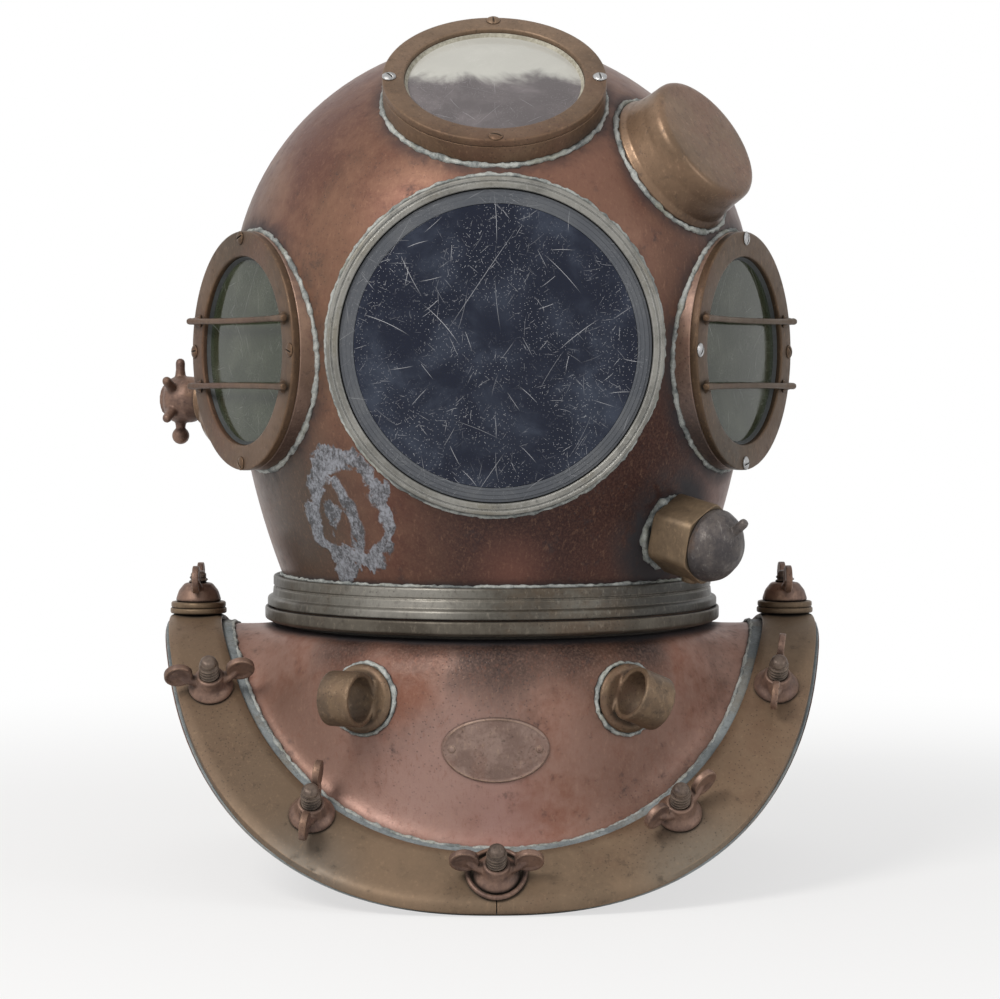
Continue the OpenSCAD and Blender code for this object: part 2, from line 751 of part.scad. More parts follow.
module phone_receiver() color("#3a3733") cup_place() translate([0, 0, cup_out - cup_wall - seat_gap - receiver_t])
    difference() {
        union() {
            cylinder(r = receiver_r, h = receiver_t);
            translate([0, 0, -receiver_lip]) cylinder(r = receiver_r - receiver_rim, h = receiver_lip + 1);
        }
        for (k = [1:SOUND_HOLES])
            rotate([0, 0, k * 360 / SOUND_HOLES]) translate([sound_ring_r, 0, -receiver_lip - 1])
                cylinder(r = sound_hole_r, h = receiver_lip + 3, $fn = SMALL_FN);
        translate([0, 0, -receiver_lip - 1]) cylinder(r = sound_hole_r, h = receiver_lip + 3, $fn = SMALL_FN);
    }

// Exhaust valve
module exhaust_body() color("#7d5c45") exhaust_place() difference() {
    inner_r = exhaust_r - exhaust_wall;
    roof = exhaust_hi - exhaust_shoulder;
    rotate_extrude() polygon([
        [valve_stem_r + running, valve_seat - seat_t], [inner_r, valve_seat - seat_t], [inner_r, exhaust_lo],
        [exhaust_r, exhaust_lo], [exhaust_r, roof], [exhaust_r - exhaust_wall - 1, exhaust_hi - exhaust_slope],
        [collar_r, exhaust_hi], [collar_r, exhaust_hi + collar_h], [spindle_r + running, exhaust_hi + collar_h],
        [spindle_r + running, roof + exhaust_slope], [inner_r - exhaust_slope, roof + exhaust_slope - 1],
        [inner_r, roof - 1], [inner_r, valve_seat], [valve_stem_r + running, valve_seat]
    ]);
    for (k = [1:PASSAGES])
        rotate([0, 0, (k + 0.5) * 360 / PASSAGES]) translate([passage_ring_r, 0, valve_seat - seat_t - 1])
            cylinder(r = passage_r, h = seat_t + 2, $fn = SMALL_FN);
    for (k = [1:VENTS])
        rotate([0, 0, k * 360 / VENTS]) translate([0, 0, vent_z]) rotate([0, 90, 0])
            translate([0, 0, inner_r - exhaust_wall]) cylinder(r = vent_r, h = 3 * exhaust_wall, $fn = SMALL_FN);
}
module exhaust_valve() color("#8c7a5c") exhaust_place() {
    translate([0, 0, valve_seat + seat_gap]) cylinder(r = valve_r, h = valve_t);
    translate([0, 0, button_z + 1]) cylinder(r = valve_stem_r, h = stem_end - button_z - 1);
    translate([0, 0, button_z]) cylinder(r = button_r, h = button_t);
}
module knob_arm(tip_r) {
    translate([0, 0, knob_arm_z]) rotate([0, 90, 0]) {
        cylinder(r = knob_arm_r, h = knob_reach, $fn = SMALL_FN);
        translate([0, 0, knob_reach]) sphere(r = tip_r, $fn = SMALL_FN);
    }
}
module exhaust_knob() color("#7c5f55") exhaust_place() difference() {
    hub_lo = exhaust_hi + collar_h + seat_gap;
    union() {
        rotate_extrude() intersection() {
            translate([-knob_barrel, knob_mid]) circle(r = knob_r + knob_barrel);
            translate([0, hub_lo]) square([knob_r + 1, knob_top - hub_lo]);
        }
        translate([0, 0, spindle_lo]) cylinder(r = spindle_r, h = knob_mid - spindle_lo);
        translate([0, 0, spindle_lo]) cylinder(r = spindle_foot_r, h = spindle_foot_t);
        for (k = [1:KNOB_ARMS - 1])
            rotate([0, 0, -90 + k * 360 / KNOB_ARMS]) knob_arm(knob_arm_r);
        rotate([0, 0, -90]) knob_arm(knob_ball_r);
    }
    translate([0, 0, spindle_lo - 1]) cylinder(r = spindle_bore_r, h = spindle_bore_len + 1, $fn = SMALL_FN);
}
// The spring is one wire, wound from the valve disc up to the spindle's foot
SPRING_RINGS = 8;
SPRING_SIDES = 6;
spring_lo = valve_seat + seat_gap + valve_t + spring_wire + seat_gap;
spring_hi = spindle_lo - spring_wire - seat_gap;
spring_n = spring_coils * SPRING_RINGS;
function spring_point(i) =
    let (a = 360 * i / SPRING_RINGS) [spring_r * cos(a), spring_r * sin(a), spring_lo + (spring_hi - spring_lo) * i / spring_n];
function spring_ring(i) =
    let (p = spring_point(i), a = 360 * i / SPRING_RINGS)
    [for (j = [0:SPRING_SIDES - 1])
        let (b = 360 * j / SPRING_SIDES)
        p + spring_wire * [cos(b) * cos(a), cos(b) * sin(a), sin(b)]];
module exhaust_spring() color("#9a8f78") exhaust_place() polyhedron(
    points = [for (i = [0:spring_n]) each spring_ring(i)],
    faces = concat(
        [reversed([for (j = [0:SPRING_SIDES - 1]) j])],
        [[for (j = [0:SPRING_SIDES - 1]) spring_n * SPRING_SIDES + j]],
        [for (i = [0:spring_n - 1]) for (j = [0:SPRING_SIDES - 1])
            let (a = i * SPRING_SIDES + j, b = i * SPRING_SIDES + (j + 1) % SPRING_SIDES)
            each [[a, b, b + SPRING_SIDES], [a, b + SPRING_SIDES, a + SPRING_SIDES]]]
    )
);

// Spit cock, with its plug turning in the body
module cock_body() color("#84603f") cock_place() difference() {
    union() {
        intersection() {
            rotate([0, 0, 30]) cylinder(r = cock_flat / cos(30), h = cock_len, $fn = 6);
            translate([0, 0, cock_root]) cylinder(r = 2 * cock_flat, h = cock_len);
        }
        translate([0, 0, -cock_tail]) cylinder(r = cock_key_r, h = cock_tail + cock_root + 1, $fn = SMALL_FN);
        translate([0, 0, side_way_z]) rotate([90, 0, 0]) translate([0, 0, cock_key_r + 2])
            cylinder(r = nozzle_r, h = nozzle_out - cock_key_r - 2, $fn = SMALL_FN);
    }
    translate([0, 0, -cock_tail - 1]) cylinder(r = way_r, h = cock_tail + key_lo + 2, $fn = SMALL_FN);
    translate([0, 0, key_lo]) cylinder(r = cock_key_r + running, h = cock_len, $fn = SMALL_FN);
    translate([0, 0, side_way_z]) rotate([90, 0, 0]) cylinder(r = side_way_r, h = nozzle_out + 1, $fn = SMALL_FN);
}
module cock_cap() color("#6f5a4c") cock_place() difference() {
    union() {
        translate([0, 0, cock_len + seat_gap]) intersection() {
            translate([0, 0, -cock_cap_low]) sphere(r = cock_cap_r + 1.5);
            cylinder(r = cock_cap_r, h = 2 * cock_cap_r);
        }
        translate([0, 0, key_lo + seat_gap]) cylinder(r = cock_key_r, h = key_len, $fn = SMALL_FN);
        translate([0, 0, pin_z]) rotate([-pin_lean, 0, 0]) cylinder(r = pin_r, h = pin_len, $fn = SMALL_FN);
    }
    translate([0, 0, key_lo - 1]) cylinder(r = way_r, h = side_way_z - key_lo + 3, $fn = SMALL_FN);
    translate([0, 0, side_way_z]) rotate([90, 0, 0]) cylinder(r = side_way_r, h = cock_key_r + 2, $fn = SMALL_FN);
}

// Air inlet
module air_elbow() color("#7d6046") difference() {
    union() {
        inlet_place() elbow_pipe(inlet_r, inlet_at - elbow_in, inlet_bend, inlet_bend_r, inlet_drop - inlet_flange_t);
        inlet_down() translate([0, 0, inlet_drop - inlet_flange_t]) cylinder(r = inlet_flange_r, h = inlet_flange_t);
    }
    inlet_place() elbow_pipe(air_bore_r, inlet_at - elbow_in - 1, inlet_bend, inlet_bend_r, inlet_drop + 1);
}
module hose_union() color("#86704c") inlet_down() translate([0, 0, inlet_drop + seat_gap]) difference() {
    union() {
        cylinder(r = union_hex_r, h = union_hex_h, $fn = 8);
        cylinder(r = union_r, h = union_len);
        translate([0, 0, union_len - 1]) cylinder(r = hose_thread_r, h = thread_len + 1);
    }
    translate([0, 0, -1]) cylinder(r = air_bore_r + elbow_step, h = chamber_lo + 2);
    translate([0, 0, chamber_lo]) cylinder(r = chamber_r, h = union_len - seat_wall - chamber_lo);
    translate([0, 0, union_len - seat_wall - 1]) cylinder(r = air_bore_r, h = thread_len + seat_wall + 2);
}
// The flap lies on the seat round the lower bore and lifts into the chamber
module at_flap() {
    inlet_down() translate([0, 0, inlet_drop + seat_gap + union_len - seat_wall]) rotate([180, 0, 0]) children();
}
module at_flap_pin() {
    at_flap() translate([-flap_off, 0, seat_gap + flap_eye_r]) rotate([-90, 0, 0]) children();
}
module check_flap() color("#4c3b2a") difference() {
    union() {
        at_flap() intersection() {
            translate([0, 0, seat_gap]) cylinder(r = flap_r, h = flap_t, $fn = SMALL_FN);
            translate([flap_cut - flap_r, -flap_r, 0]) cube(2 * flap_r);
        }
        at_flap() translate([-flap_off, -flap_w / 2, seat_gap]) cube([flap_off, flap_w, flap_t]);
        at_flap_pin() translate([0, 0, -flap_w / 2]) cylinder(r = flap_eye_r, h = flap_w, $fn = SMALL_FN);
    }
    at_flap_pin() translate([0, 0, -flap_w]) cylinder(r = flap_pin_r + running, h = 2 * flap_w, $fn = SMALL_FN);
}
module flap_pin() color("#8a7f68") {
    at_flap_pin() translate([0, 0, -flap_post_out - 1]) cylinder(r = flap_pin_r, h = 2 * flap_post_out + 2, $fn = SMALL_FN);
    for (e = [-1, 1])
        at_flap() translate([-flap_off - flap_post / 2, e * flap_post_out - flap_post / 2, seat_gap])
            cube([flap_post, flap_post, flap_eye_r]);
}

// Telephone cable elbow and gland nut
module phone_elbow() color("#7d6046") cable_place() difference() {
    elbow_pipe(cable_r, cable_at - elbow_in, cable_bend, cable_bend_r, cable_drop);
    elbow_pipe(cable_bore_r, cable_at - elbow_in - 1, cable_bend, cable_bend_r, cable_drop + 1);
}
module phone_gland() color("#86704c") cable_down() translate([0, 0, cable_drop + seat_gap]) difference() {
    union() {
        cylinder(r = gland_r, h = gland_len - gland_end, $fn = 6);
        cylinder(r = gland_r - gland_step, h = gland_len);
    }
    translate([0, 0, -1]) cylinder(r = cable_bore_r, h = gland_len + 2);
}

// Safety catch at the back of the neck
module catch_place() {
    rotate([0, 0, catch_turn]) translate([0, -catch_out, catch_z]) children();
}
module catch_bracket() color("#7a6650") difference() {
    half = catch_w / 2 + cheek_gap + cheek_t;
    deep = catch_out - bonnet_ring_r + 2;
    catch_place() {
        for (e = [-1, 1])
            translate([e * (half - cheek_t / 2) - cheek_t / 2, -cheek_front, -cheek_lo])
                cube([cheek_t, cheek_front + deep, cheek_lo + cheek_hi]);
        translate([-half, cheek_back, -cheek_lo]) cube([2 * half, deep - cheek_back, cheek_lo + cheek_hi]);
    }
    cylinder(r = bonnet_ring_r + seat_gap, h = 4 * catch_z);
    catch_place() translate([-2 * half, 0, 0]) rotate([0, 90, 0])
        cylinder(r = catch_pin_r + EPS, h = 4 * half, $fn = SMALL_FN);
}
module catch_pin() color("#8d8a80") catch_place() translate([-catch_w / 2 - cheek_t - 1, 0, 0]) rotate([0, 90, 0])
    cylinder(r = catch_pin_r, h = catch_w + 2 * cheek_t + 2, $fn = SMALL_FN);
module catch_lever() color("#86704c") catch_place() rotate([-catch_rest, 0, 0]) difference() {
    union() {
        translate([-catch_w / 2, 0, 0]) rotate([0, 90, 0]) cylinder(r = catch_eye_r, h = catch_w, $fn = SMALL_FN);
        translate([-catch_w / 2, -catch_len, -catch_half]) cube([catch_w, catch_len, 2 * catch_half]);
    }
    translate([-catch_w, 0, 0]) rotate([0, 90, 0]) cylinder(r = catch_pin_r + running, h = 2 * catch_w, $fn = SMALL_FN);
}

// Air ducts inside the dome: one over the crown, one to each side port
module duct_section(r) {
    difference() {
        translate([r - duct_t, -duct_w / 2]) square([duct_t, duct_w]);
        translate([r - duct_t + duct_wall, -duct_w / 2 + duct_wall])
            square([duct_t - 2 * duct_wall, duct_w - 2 * duct_wall]);
    }
}
module air_ducts() color("#8a5a40") {
    duct_z = dome_z + duct_lift;
    side_duct_r = sqrt(pow(dome_r - dome_wall, 2) - pow(duct_lift + duct_w / 2, 2)) - duct_gap;
    top_duct_r = sqrt(pow(dome_r - dome_wall, 2) - pow(duct_w / 2, 2)) - duct_gap;
    for (span = duct_spans)
        at_height(duct_z) rotate([0, 0, span[0] - 90]) rotate_extrude(angle = span[1] - span[0])
            duct_section(side_duct_r);
    at_height(dome_z) rotate([0, 0, inlet_turn - 90]) rotate([90, 0, 0]) rotate([0, 0, crown_duct[0]])
        rotate_extrude(angle = crown_duct[1] - crown_duct[0]) duct_section(top_duct_r);
}

// Breastplate
module breastplate_shell() color("#84503c") {
    loops = [for (j = [0:SHELL_TURNS - 1]) let (t = 360 * j / SHELL_TURNS) [for (p = shell_loop(t)) turned(p, t)]];
    n = len(loops[0]);
    polyhedron(
        points = [for (l = loops) each l],
        faces = [
            for (j = [0:SHELL_TURNS - 1]) for (i = [0:n - 1])
                let (
                    a = j * n + i,
                    b = j * n + (i + 1) % n,
                    c = ((j + 1) % SHELL_TURNS) * n + (i + 1) % n,
                    d = ((j + 1) % SHELL_TURNS) * n + i
                ) each [[a, b, c], [a, c, d]]
        ]
    );
}
module breastplate_ring() color("#7a6650") {
    rotate_extrude() polygon([
        [ring_bore_r, -ring_depth], [neck_wall_r, -ring_depth], [neck_wall_r, -ring_depth + ring_cove],
        [neck_r - ring_slope, ring_top - ring_flange_h - ring_cove], [neck_r, ring_top - ring_flange_h],
        [neck_r, ring_top], [groove_out_r, ring_top], [groove_out_r, washer_bed],
        [groove_in_r, washer_bed], [groove_in_r, ring_top], [ring_bore_r, ring_top]
    ]);
    for (k = [0:lug_count - 1])
        rotate([0, 0, k * 360 / lug_count - lug_span / 2]) rotate_extrude(angle = lug_span)
            translate([spigot_r + lug_clear, ring_lug_z]) square([ring_bore_r - spigot_r + 1 - lug_clear, lug_h]);
    rotate([0, 0, catch_turn + asin((catch_w / 2 + catch_slack + catch_lug_w / 2) / catch_out)])
        difference() {
            translate([-catch_lug_w / 2, -catch_out - catch_half, ring_top - ring_flange_h])
                cube([catch_lug_w, catch_out + catch_half - neck_r + ring_slope, ring_flange_h - lug_slack]);
            translate([0, 0, -2 * ring_flange_h]) cylinder(r = neck_r - 1, h = 4 * ring_flange_h);
        }
}
module neck_washer() color("#3d2d20")
    ring(groove_out_r - seat_gap, groove_in_r + seat_gap, washer_bed + seat_gap, washer_top);

// A slab that bends over the shoulders, between two arch radii
module arch_fill(r) {
    long = 2 * brail_a;
    intersection() {
        circle(r = r);
        polygon([[0, 0], [-long * sin(flange_slope), long * cos(flange_slope)], [long * sin(flange_slope), long * cos(flange_slope)]]);
    }
    rotate(-flange_slope) square([long, r]);
    mirror([1, 0]) rotate(-flange_slope) square([long, r]);
}
module arch_slab(r_low, r_high) {
    translate([0, 0, arch_z]) rotate([90, 0, 90]) linear_extrude(height = 3 * brail_a, center = true) difference() {
        arch_fill(r_high);
        arch_fill(r_low);
    }
}
module stud_holes(k_from, k_to, clear) {
    for (k = [k_from:k_to])
        at_station(k % 12) translate([0, 0, -2 * stud_foot]) cylinder(r = stud_r + clear, h = 4 * stud_foot, $fn = SMALL_FN);
}
module stud_band() color("#8b8778") difference() {
    intersection() {
        arch_slab(band_low, band_top);
        translate([0, 0, -300]) linear_extrude(height = 320) difference() {
            polygon(plan_arc(band_out, 0, 355, 71));
            polygon(plan_arc(band_in, 0, 355, 71));
        }
    }
    stud_holes(0, 11, solder_gap);
}
module brail(quarter) {
    t0 = 90 * quarter + brail_seam;
    t1 = 90 * quarter + 90 - brail_seam;
    difference() {
        intersection() {
            arch_slab(brail_low, shoulder_r);
            translate([0, 0, -300]) linear_extrude(height = 320)
                polygon(concat(plan_arc(brail_out, t0, t1, 18), reversed(plan_arc(brail_in, t0, t1, 18))));
        }
        stud_holes(3 * quarter, 3 * quarter + 3, stud_clear);
    }
}
module brail_front_right() color("#7c6349") brail(0);
module brail_back_right() color("#7c6349") brail(1);
module brail_back_left() color("#7c6349") brail(2);
module brail_front_left() color("#7c6349") brail(3);
module studs() color("#5f5650") for (k = [0:11]) at_station(k) {
    translate([0, 0, -stud_foot]) cylinder(r = stud_r, h = stud_foot + stud_h - stud_tip, $fn = SMALL_FN);
    translate([0, 0, stud_h - stud_tip]) cylinder(r1 = stud_r, r2 = stud_r - 1.5, h = stud_tip, $fn = SMALL_FN);
}
function plate_z(i) = seat_gap + i * (plate_t + seat_gap);
module shoulder_plates() color("#74604c") for (k = SHOULDERS) at_station(k) for (i = [0, 1])
    ring(plate_r - i * plate_step, stud_r + stud_clear, plate_z(i), plate_z(i) + plate_t);
function nut_seat(k) = is_shoulder(k) ? plate_z(2) : seat_gap;
module wing_nut(k) color("#6a4c45") at_station(k) translate([0, 0, nut_seat(k)]) rotate([0, 0, wing_turns[k]]) difference() {
    union() {
        rotate_extrude() intersection() {
            union() {
                translate([0, -nut_sink]) circle(r = nut_r + 0.3);
                square([nut_r, nut_skirt]);
            }
            square([nut_r, nut_h]);
        }
        for (e = [0, 180]) rotate([0, 0, e]) rotate([90, 0, 0]) linear_extrude(height = wing_t, center = true) {
            translate([wing_out, wing_up]) circle(r = wing_r, $fn = SMALL_FN);
            polygon([
                [4, 3], [9, 3.4], [wing_out - 2, wing_up - wing_r + 1], [wing_out + 4, wing_up - wing_r + 2.4],
                [wing_out, wing_up], [wing_out - 6.4, wing_up + 4.6], [wing_out - 9.2, wing_up + 1], [6.4, nut_h - 1], [4, nut_h - 1]
            ]);
        }
    }
    translate([0, 0, -1]) cylinder(r = stud_r + running, h = 40, $fn = SMALL_FN);
}
module front_ring() color("#5d4a40") at_station(0) translate([0, 0, wire_r + seat_gap])
    rotate_extrude() translate([nut_r + wire_r + 1, 0]) circle(r = wire_r, $fn = SMALL_FN);

// Oval name plate, bent to the chest, with its two rivets
TAG_RINGS = 4;
TAG_TURNS = 36;
tag_t = 1.4;
tag_scale = norm(chest(0, tag_down + 0.05) - chest(0, tag_down - 0.05)) / 0.1;
function tag_point(u, v, off) =
    let (
        s = tag_down - v / tag_scale,
        t = u / chest(0, s)[0] * 180 / PI
    ) turned(chest(t, s) + off * chest_out(t, s), t);
function tag_face(off) = concat(
    [tag_point(0, 0, off)],
    [for (i = [1:TAG_RINGS]) for (j = [0:TAG_TURNS - 1])
        let (f = i / TAG_RINGS, a = 360 * j / TAG_TURNS) tag_point(tag_a * f * cos(a), tag_b * f * sin(a), off)]
);
TAG_SIDE = 1 + TAG_RINGS * TAG_TURNS;
function tag_at(side, i, j) = i == 0 ? side * TAG_SIDE : side * TAG_SIDE + 1 + (i - 1) * TAG_TURNS + j % TAG_TURNS;
module name_plate() color("#8a6f4a") {
    difference() {
        polyhedron(
            points = concat(tag_face(seat_gap), tag_face(seat_gap + tag_t)),
            faces = concat(
                [for (j = [0:TAG_TURNS - 1]) [tag_at(1, 0, 0), tag_at(1, 1, j + 1), tag_at(1, 1, j)]],
                [for (j = [0:TAG_TURNS - 1]) [tag_at(0, 0, 0), tag_at(0, 1, j), tag_at(0, 1, j + 1)]],
                [for (i = [1:TAG_RINGS - 1]) for (j = [0:TAG_TURNS - 1]) each [
                    [tag_at(1, i, j), tag_at(1, i, j + 1), tag_at(1, i + 1, j + 1)],
                    [tag_at(1, i, j), tag_at(1, i + 1, j + 1), tag_at(1, i + 1, j)],
                    [tag_at(0, i, j), tag_at(0, i + 1, j + 1), tag_at(0, i, j + 1)],
                    [tag_at(0, i, j), tag_at(0, i + 1, j), tag_at(0, i + 1, j + 1)]
                ]],
                [for (j = [0:TAG_TURNS - 1]) each [
                    [tag_at(0, TAG_RINGS, j), tag_at(1, TAG_RINGS, j + 1), tag_at(0, TAG_RINGS, j + 1)],
                    [tag_at(0, TAG_RINGS, j), tag_at(1, TAG_RINGS, j), tag_at(1, TAG_RINGS, j + 1)]
                ]]
            )
        );
    }
}
module eyelet() {
    loop_z = eyelet_foot_h + eyelet_r - eyelet_sink;
    difference() {
        union() {
            cylinder(r = eyelet_foot_r, h = eyelet_foot_h);
            translate([-eyelet_w / 2, 0, loop_z]) rotate([0, 90, 0]) cylinder(r = eyelet_r, h = eyelet_w);
        }
        translate([-eyelet_w, 0, loop_z]) rotate([0, 90, 0]) cylinder(r = eyelet_bore_r, h = 2 * eyelet_w);
    }
}
module eyelets() color("#7d6547") for (side = [-1, 1])
    on_chest(side * eyelet_turn, eyelet_down, eyelet_off) rotate([0, 0, side > 0 ? -eyelet_bend : 0]) eyelet();

bonnet_shell();
bonnet_ring();
front_port_body();
front_port_ring();
front_glass();
top_port_body();
top_glass();
top_bezel();
left_port_body();
left_glass();
left_bezel();
right_port_body();
right_glass();
right_bezel();
glass_gaskets();
bezel_screws();
guard_bars();
phone_cup();
phone_receiver();
exhaust_body();
exhaust_knob();
exhaust_valve();
exhaust_spring();
cock_body();
cock_cap();
air_elbow();
hose_union();
check_flap();
flap_pin();
phone_elbow();
phone_gland();
catch_bracket();
catch_lever();
catch_pin();
air_ducts();
breastplate_shell();
breastplate_ring();
neck_washer();
stud_band();
studs();
brail_front_right();
brail_back_right();
brail_back_left();
brail_front_left();
shoulder_plates();
front_ring();
name_plate();
eyelets();
wing_nut(0);  // wing_nut_0
wing_nut(1);  // wing_nut_1
wing_nut(2);  // wing_nut_2
wing_nut(3);  // wing_nut_3
wing_nut(4);  // wing_nut_4
wing_nut(5);  // wing_nut_5
wing_nut(6);  // wing_nut_6
wing_nut(7);  // wing_nut_7
wing_nut(8);  // wing_nut_8
wing_nut(9);  // wing_nut_9
wing_nut(10);  // wing_nut_10
wing_nut(11);  // wing_nut_11
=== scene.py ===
from math import asin, atan2, cos, degrees, hypot, pi, radians, sin, sqrt, tan

import bmesh
import bpy
from mathutils import Matrix, Vector


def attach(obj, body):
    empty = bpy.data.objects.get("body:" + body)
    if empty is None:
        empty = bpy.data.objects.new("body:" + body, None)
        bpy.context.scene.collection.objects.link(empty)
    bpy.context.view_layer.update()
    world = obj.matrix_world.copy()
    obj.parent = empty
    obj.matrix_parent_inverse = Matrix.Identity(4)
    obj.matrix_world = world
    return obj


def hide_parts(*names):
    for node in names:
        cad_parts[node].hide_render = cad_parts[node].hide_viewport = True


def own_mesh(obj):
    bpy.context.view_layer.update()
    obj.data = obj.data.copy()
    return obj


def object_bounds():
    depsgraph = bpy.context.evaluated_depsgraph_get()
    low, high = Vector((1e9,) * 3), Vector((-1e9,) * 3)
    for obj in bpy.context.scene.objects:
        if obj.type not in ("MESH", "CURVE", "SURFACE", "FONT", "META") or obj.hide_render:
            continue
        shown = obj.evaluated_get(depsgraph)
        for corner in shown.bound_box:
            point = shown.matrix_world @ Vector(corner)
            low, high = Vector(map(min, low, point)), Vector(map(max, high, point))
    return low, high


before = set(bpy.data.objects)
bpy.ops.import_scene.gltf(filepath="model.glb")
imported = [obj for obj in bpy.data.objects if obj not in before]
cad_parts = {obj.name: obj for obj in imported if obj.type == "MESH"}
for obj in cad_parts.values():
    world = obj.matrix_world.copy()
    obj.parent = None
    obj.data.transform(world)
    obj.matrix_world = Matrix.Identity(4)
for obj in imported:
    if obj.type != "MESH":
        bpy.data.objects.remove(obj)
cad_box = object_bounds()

MM = 0.001
print("CAD box, metres:", [round(v, 4) for v in (*cad_box[0], *cad_box[1])])

# %% [markdown]
# The camera comes first, because everything after it is judged through it. The helmet was photographed
# from a little to the left of its nose, at the height of its front window, with a long lens. A long lens
# keeps the dome round, so the lens is 108 mm on a 36 mm frame, 1.8 m away.
# %% Camera
CAMERA_AWAY = 1.8
CAMERA_LEFT = 0.8
CAMERA_HEIGHT = 0.136
CAMERA_DOWN = 2.34
CAMERA_HEADING = 0.951
LENS = 108
FILM = 36

eye = bpy.data.cameras.new("eye")
eye.lens = LENS
eye.sensor_width = FILM
camera = bpy.data.objects.new("camera", eye)
camera.location = (
    -CAMERA_AWAY * sin(radians(CAMERA_LEFT)),
    -CAMERA_AWAY * cos(radians(CAMERA_LEFT)),
    CAMERA_HEIGHT,
)
camera.rotation_euler = (radians(90 - CAMERA_DOWN), 0, radians(-CAMERA_HEADING))
bpy.context.scene.collection.objects.link(camera)
bpy.context.scene.camera = camera
print("camera at", [round(v, 3) for v in camera.location])

# %% [markdown]
# Node trees are drawn with a mouse as a rule. In a script they read better as sums, so Wire wraps one
# socket and gives it Python's operators: each operator adds a Math node and gives back a new wire.
# %% Wires
class Wire:
    """One socket. An operator on it adds a Math node."""

    def __init__(self, tree, socket):
        self.tree = tree
        self.socket = socket

    def math(self, operation, *rest):
        return self.tree.add("ShaderNodeMath", {"operation": operation}, [self, *rest])

    def __add__(self, other):
        return self.math("ADD", other)

    def __sub__(self, other):
        return self.math("SUBTRACT", other)

    def __rsub__(self, other):
        return self.tree.add("ShaderNodeMath", {"operation": "SUBTRACT"}, [other, self])

    def __mul__(self, other):
        return self.math("MULTIPLY", other)

    def __pow__(self, other):
        return self.math("POWER", other)

    def __lt__(self, other):
        return self.math("LESS_THAN", other)

    def __gt__(self, other):
        return self.math("GREATER_THAN", other)

    __radd__ = __add__
    __rmul__ = __mul__


print("wires know + - * ** < and >")

# %% [markdown]
# Tree.add makes any other node from its type, its settings and the values of its sockets. The other calls
# only save words: each is one kind of node, with the settings that this lesson needs.
# %% Trees
class Tree:
    """A node tree that is filled by calls."""

    def __init__(self, nodes):
        self.nodes = nodes

    def add(self, kind, settings=None, inputs=(), out=0):
        """Any other node; its sockets get values or wires, by name or in order."""
        node = self.nodes.nodes.new(kind)
        for key, value in (settings or {}).items():
            setattr(node, key, value)
        for key, value in inputs.items() if isinstance(inputs, dict) else enumerate(inputs):
            if isinstance(value, Wire):
                self.nodes.links.new(value.socket, node.inputs[key])
            else:
                node.inputs[key].default_value = value
        return Wire(self, node.outputs[out]) if len(node.outputs) else None

    def vector(self, operation, *inputs, out=0):
        return self.add("ShaderNodeVectorMath", {"operation": operation}, inputs, out)

    def dot(self, a, b):
        return self.vector("DOT_PRODUCT", a, b, out=1)

    def length(self, a):
        return self.vector("LENGTH", a, out=1)

    def packed(self, x, y, z):
        return self.add("ShaderNodeCombineXYZ", None, [x, y, z])

    def fade(self, value, low, high):
        """0 below low, 1 over high, smooth between."""
        settings = {"interpolation_type": "SMOOTHSTEP"}
        return self.add("ShaderNodeMapRange", settings, [value, low, high, 0.0, 1.0])

    def mix(self, factor, a, b):
        return self.add("ShaderNodeMix", {"data_type": "RGBA"}, {0: factor, 6: a, 7: b}, 2)

    def noise(self, at, scale, detail, rough=0.5, warp=0.0, out=0):
        inputs = {"Vector": at, "Scale": scale, "Detail": detail, "Roughness": rough, "Distortion": warp}
        return self.add("ShaderNodeTexNoise", {"noise_dimensions": "3D"}, inputs, out)

    def cells(self, at, scale, out="Distance", dimensions="2D"):
        settings = {"voronoi_dimensions": dimensions}
        return self.add("ShaderNodeTexVoronoi", settings, {"Vector": at, "Scale": scale}, out)

    def bump(self, height, strength, distance, **more):
        inputs = {"Strength": strength, "Distance": distance, "Height": height, **more}
        return self.add("ShaderNodeBump", None, inputs, "Normal")

    def surface(self, **values):
        """Ends a material; a socket's name is written with low lines for its spaces."""
        inputs = {name.replace("_", " "): value for name, value in values.items()}
        shader = self.add("ShaderNodeBsdfPrincipled", None, inputs)
        self.add("ShaderNodeOutputMaterial", None, [shader])


print("a tree knows:", [name for name in vars(Tree) if not name.startswith("_")])

# %% [markdown]
# Every material, and the world too, starts from an empty tree. Patterns read Object coordinates, which lie
# still on a piece wherever the piece goes.
# %% Empty trees
def rgb(r, g, b):
    return (r, g, b, 1.0)


def emptied(owner):
    """The tree of a material or a world, without the nodes that it comes with."""
    owner.use_nodes = True
    owner.node_tree.nodes.clear()
    return Tree(owner.node_tree)


def new_finish(name):
    """A material, its tree, and the place on the object that its patterns read."""
    material = bpy.data.materials.new(name)
    t = emptied(material)
    return material, t, t.add("ShaderNodeTexCoord", out="Object")


print("white is", rgb(1, 1, 1))

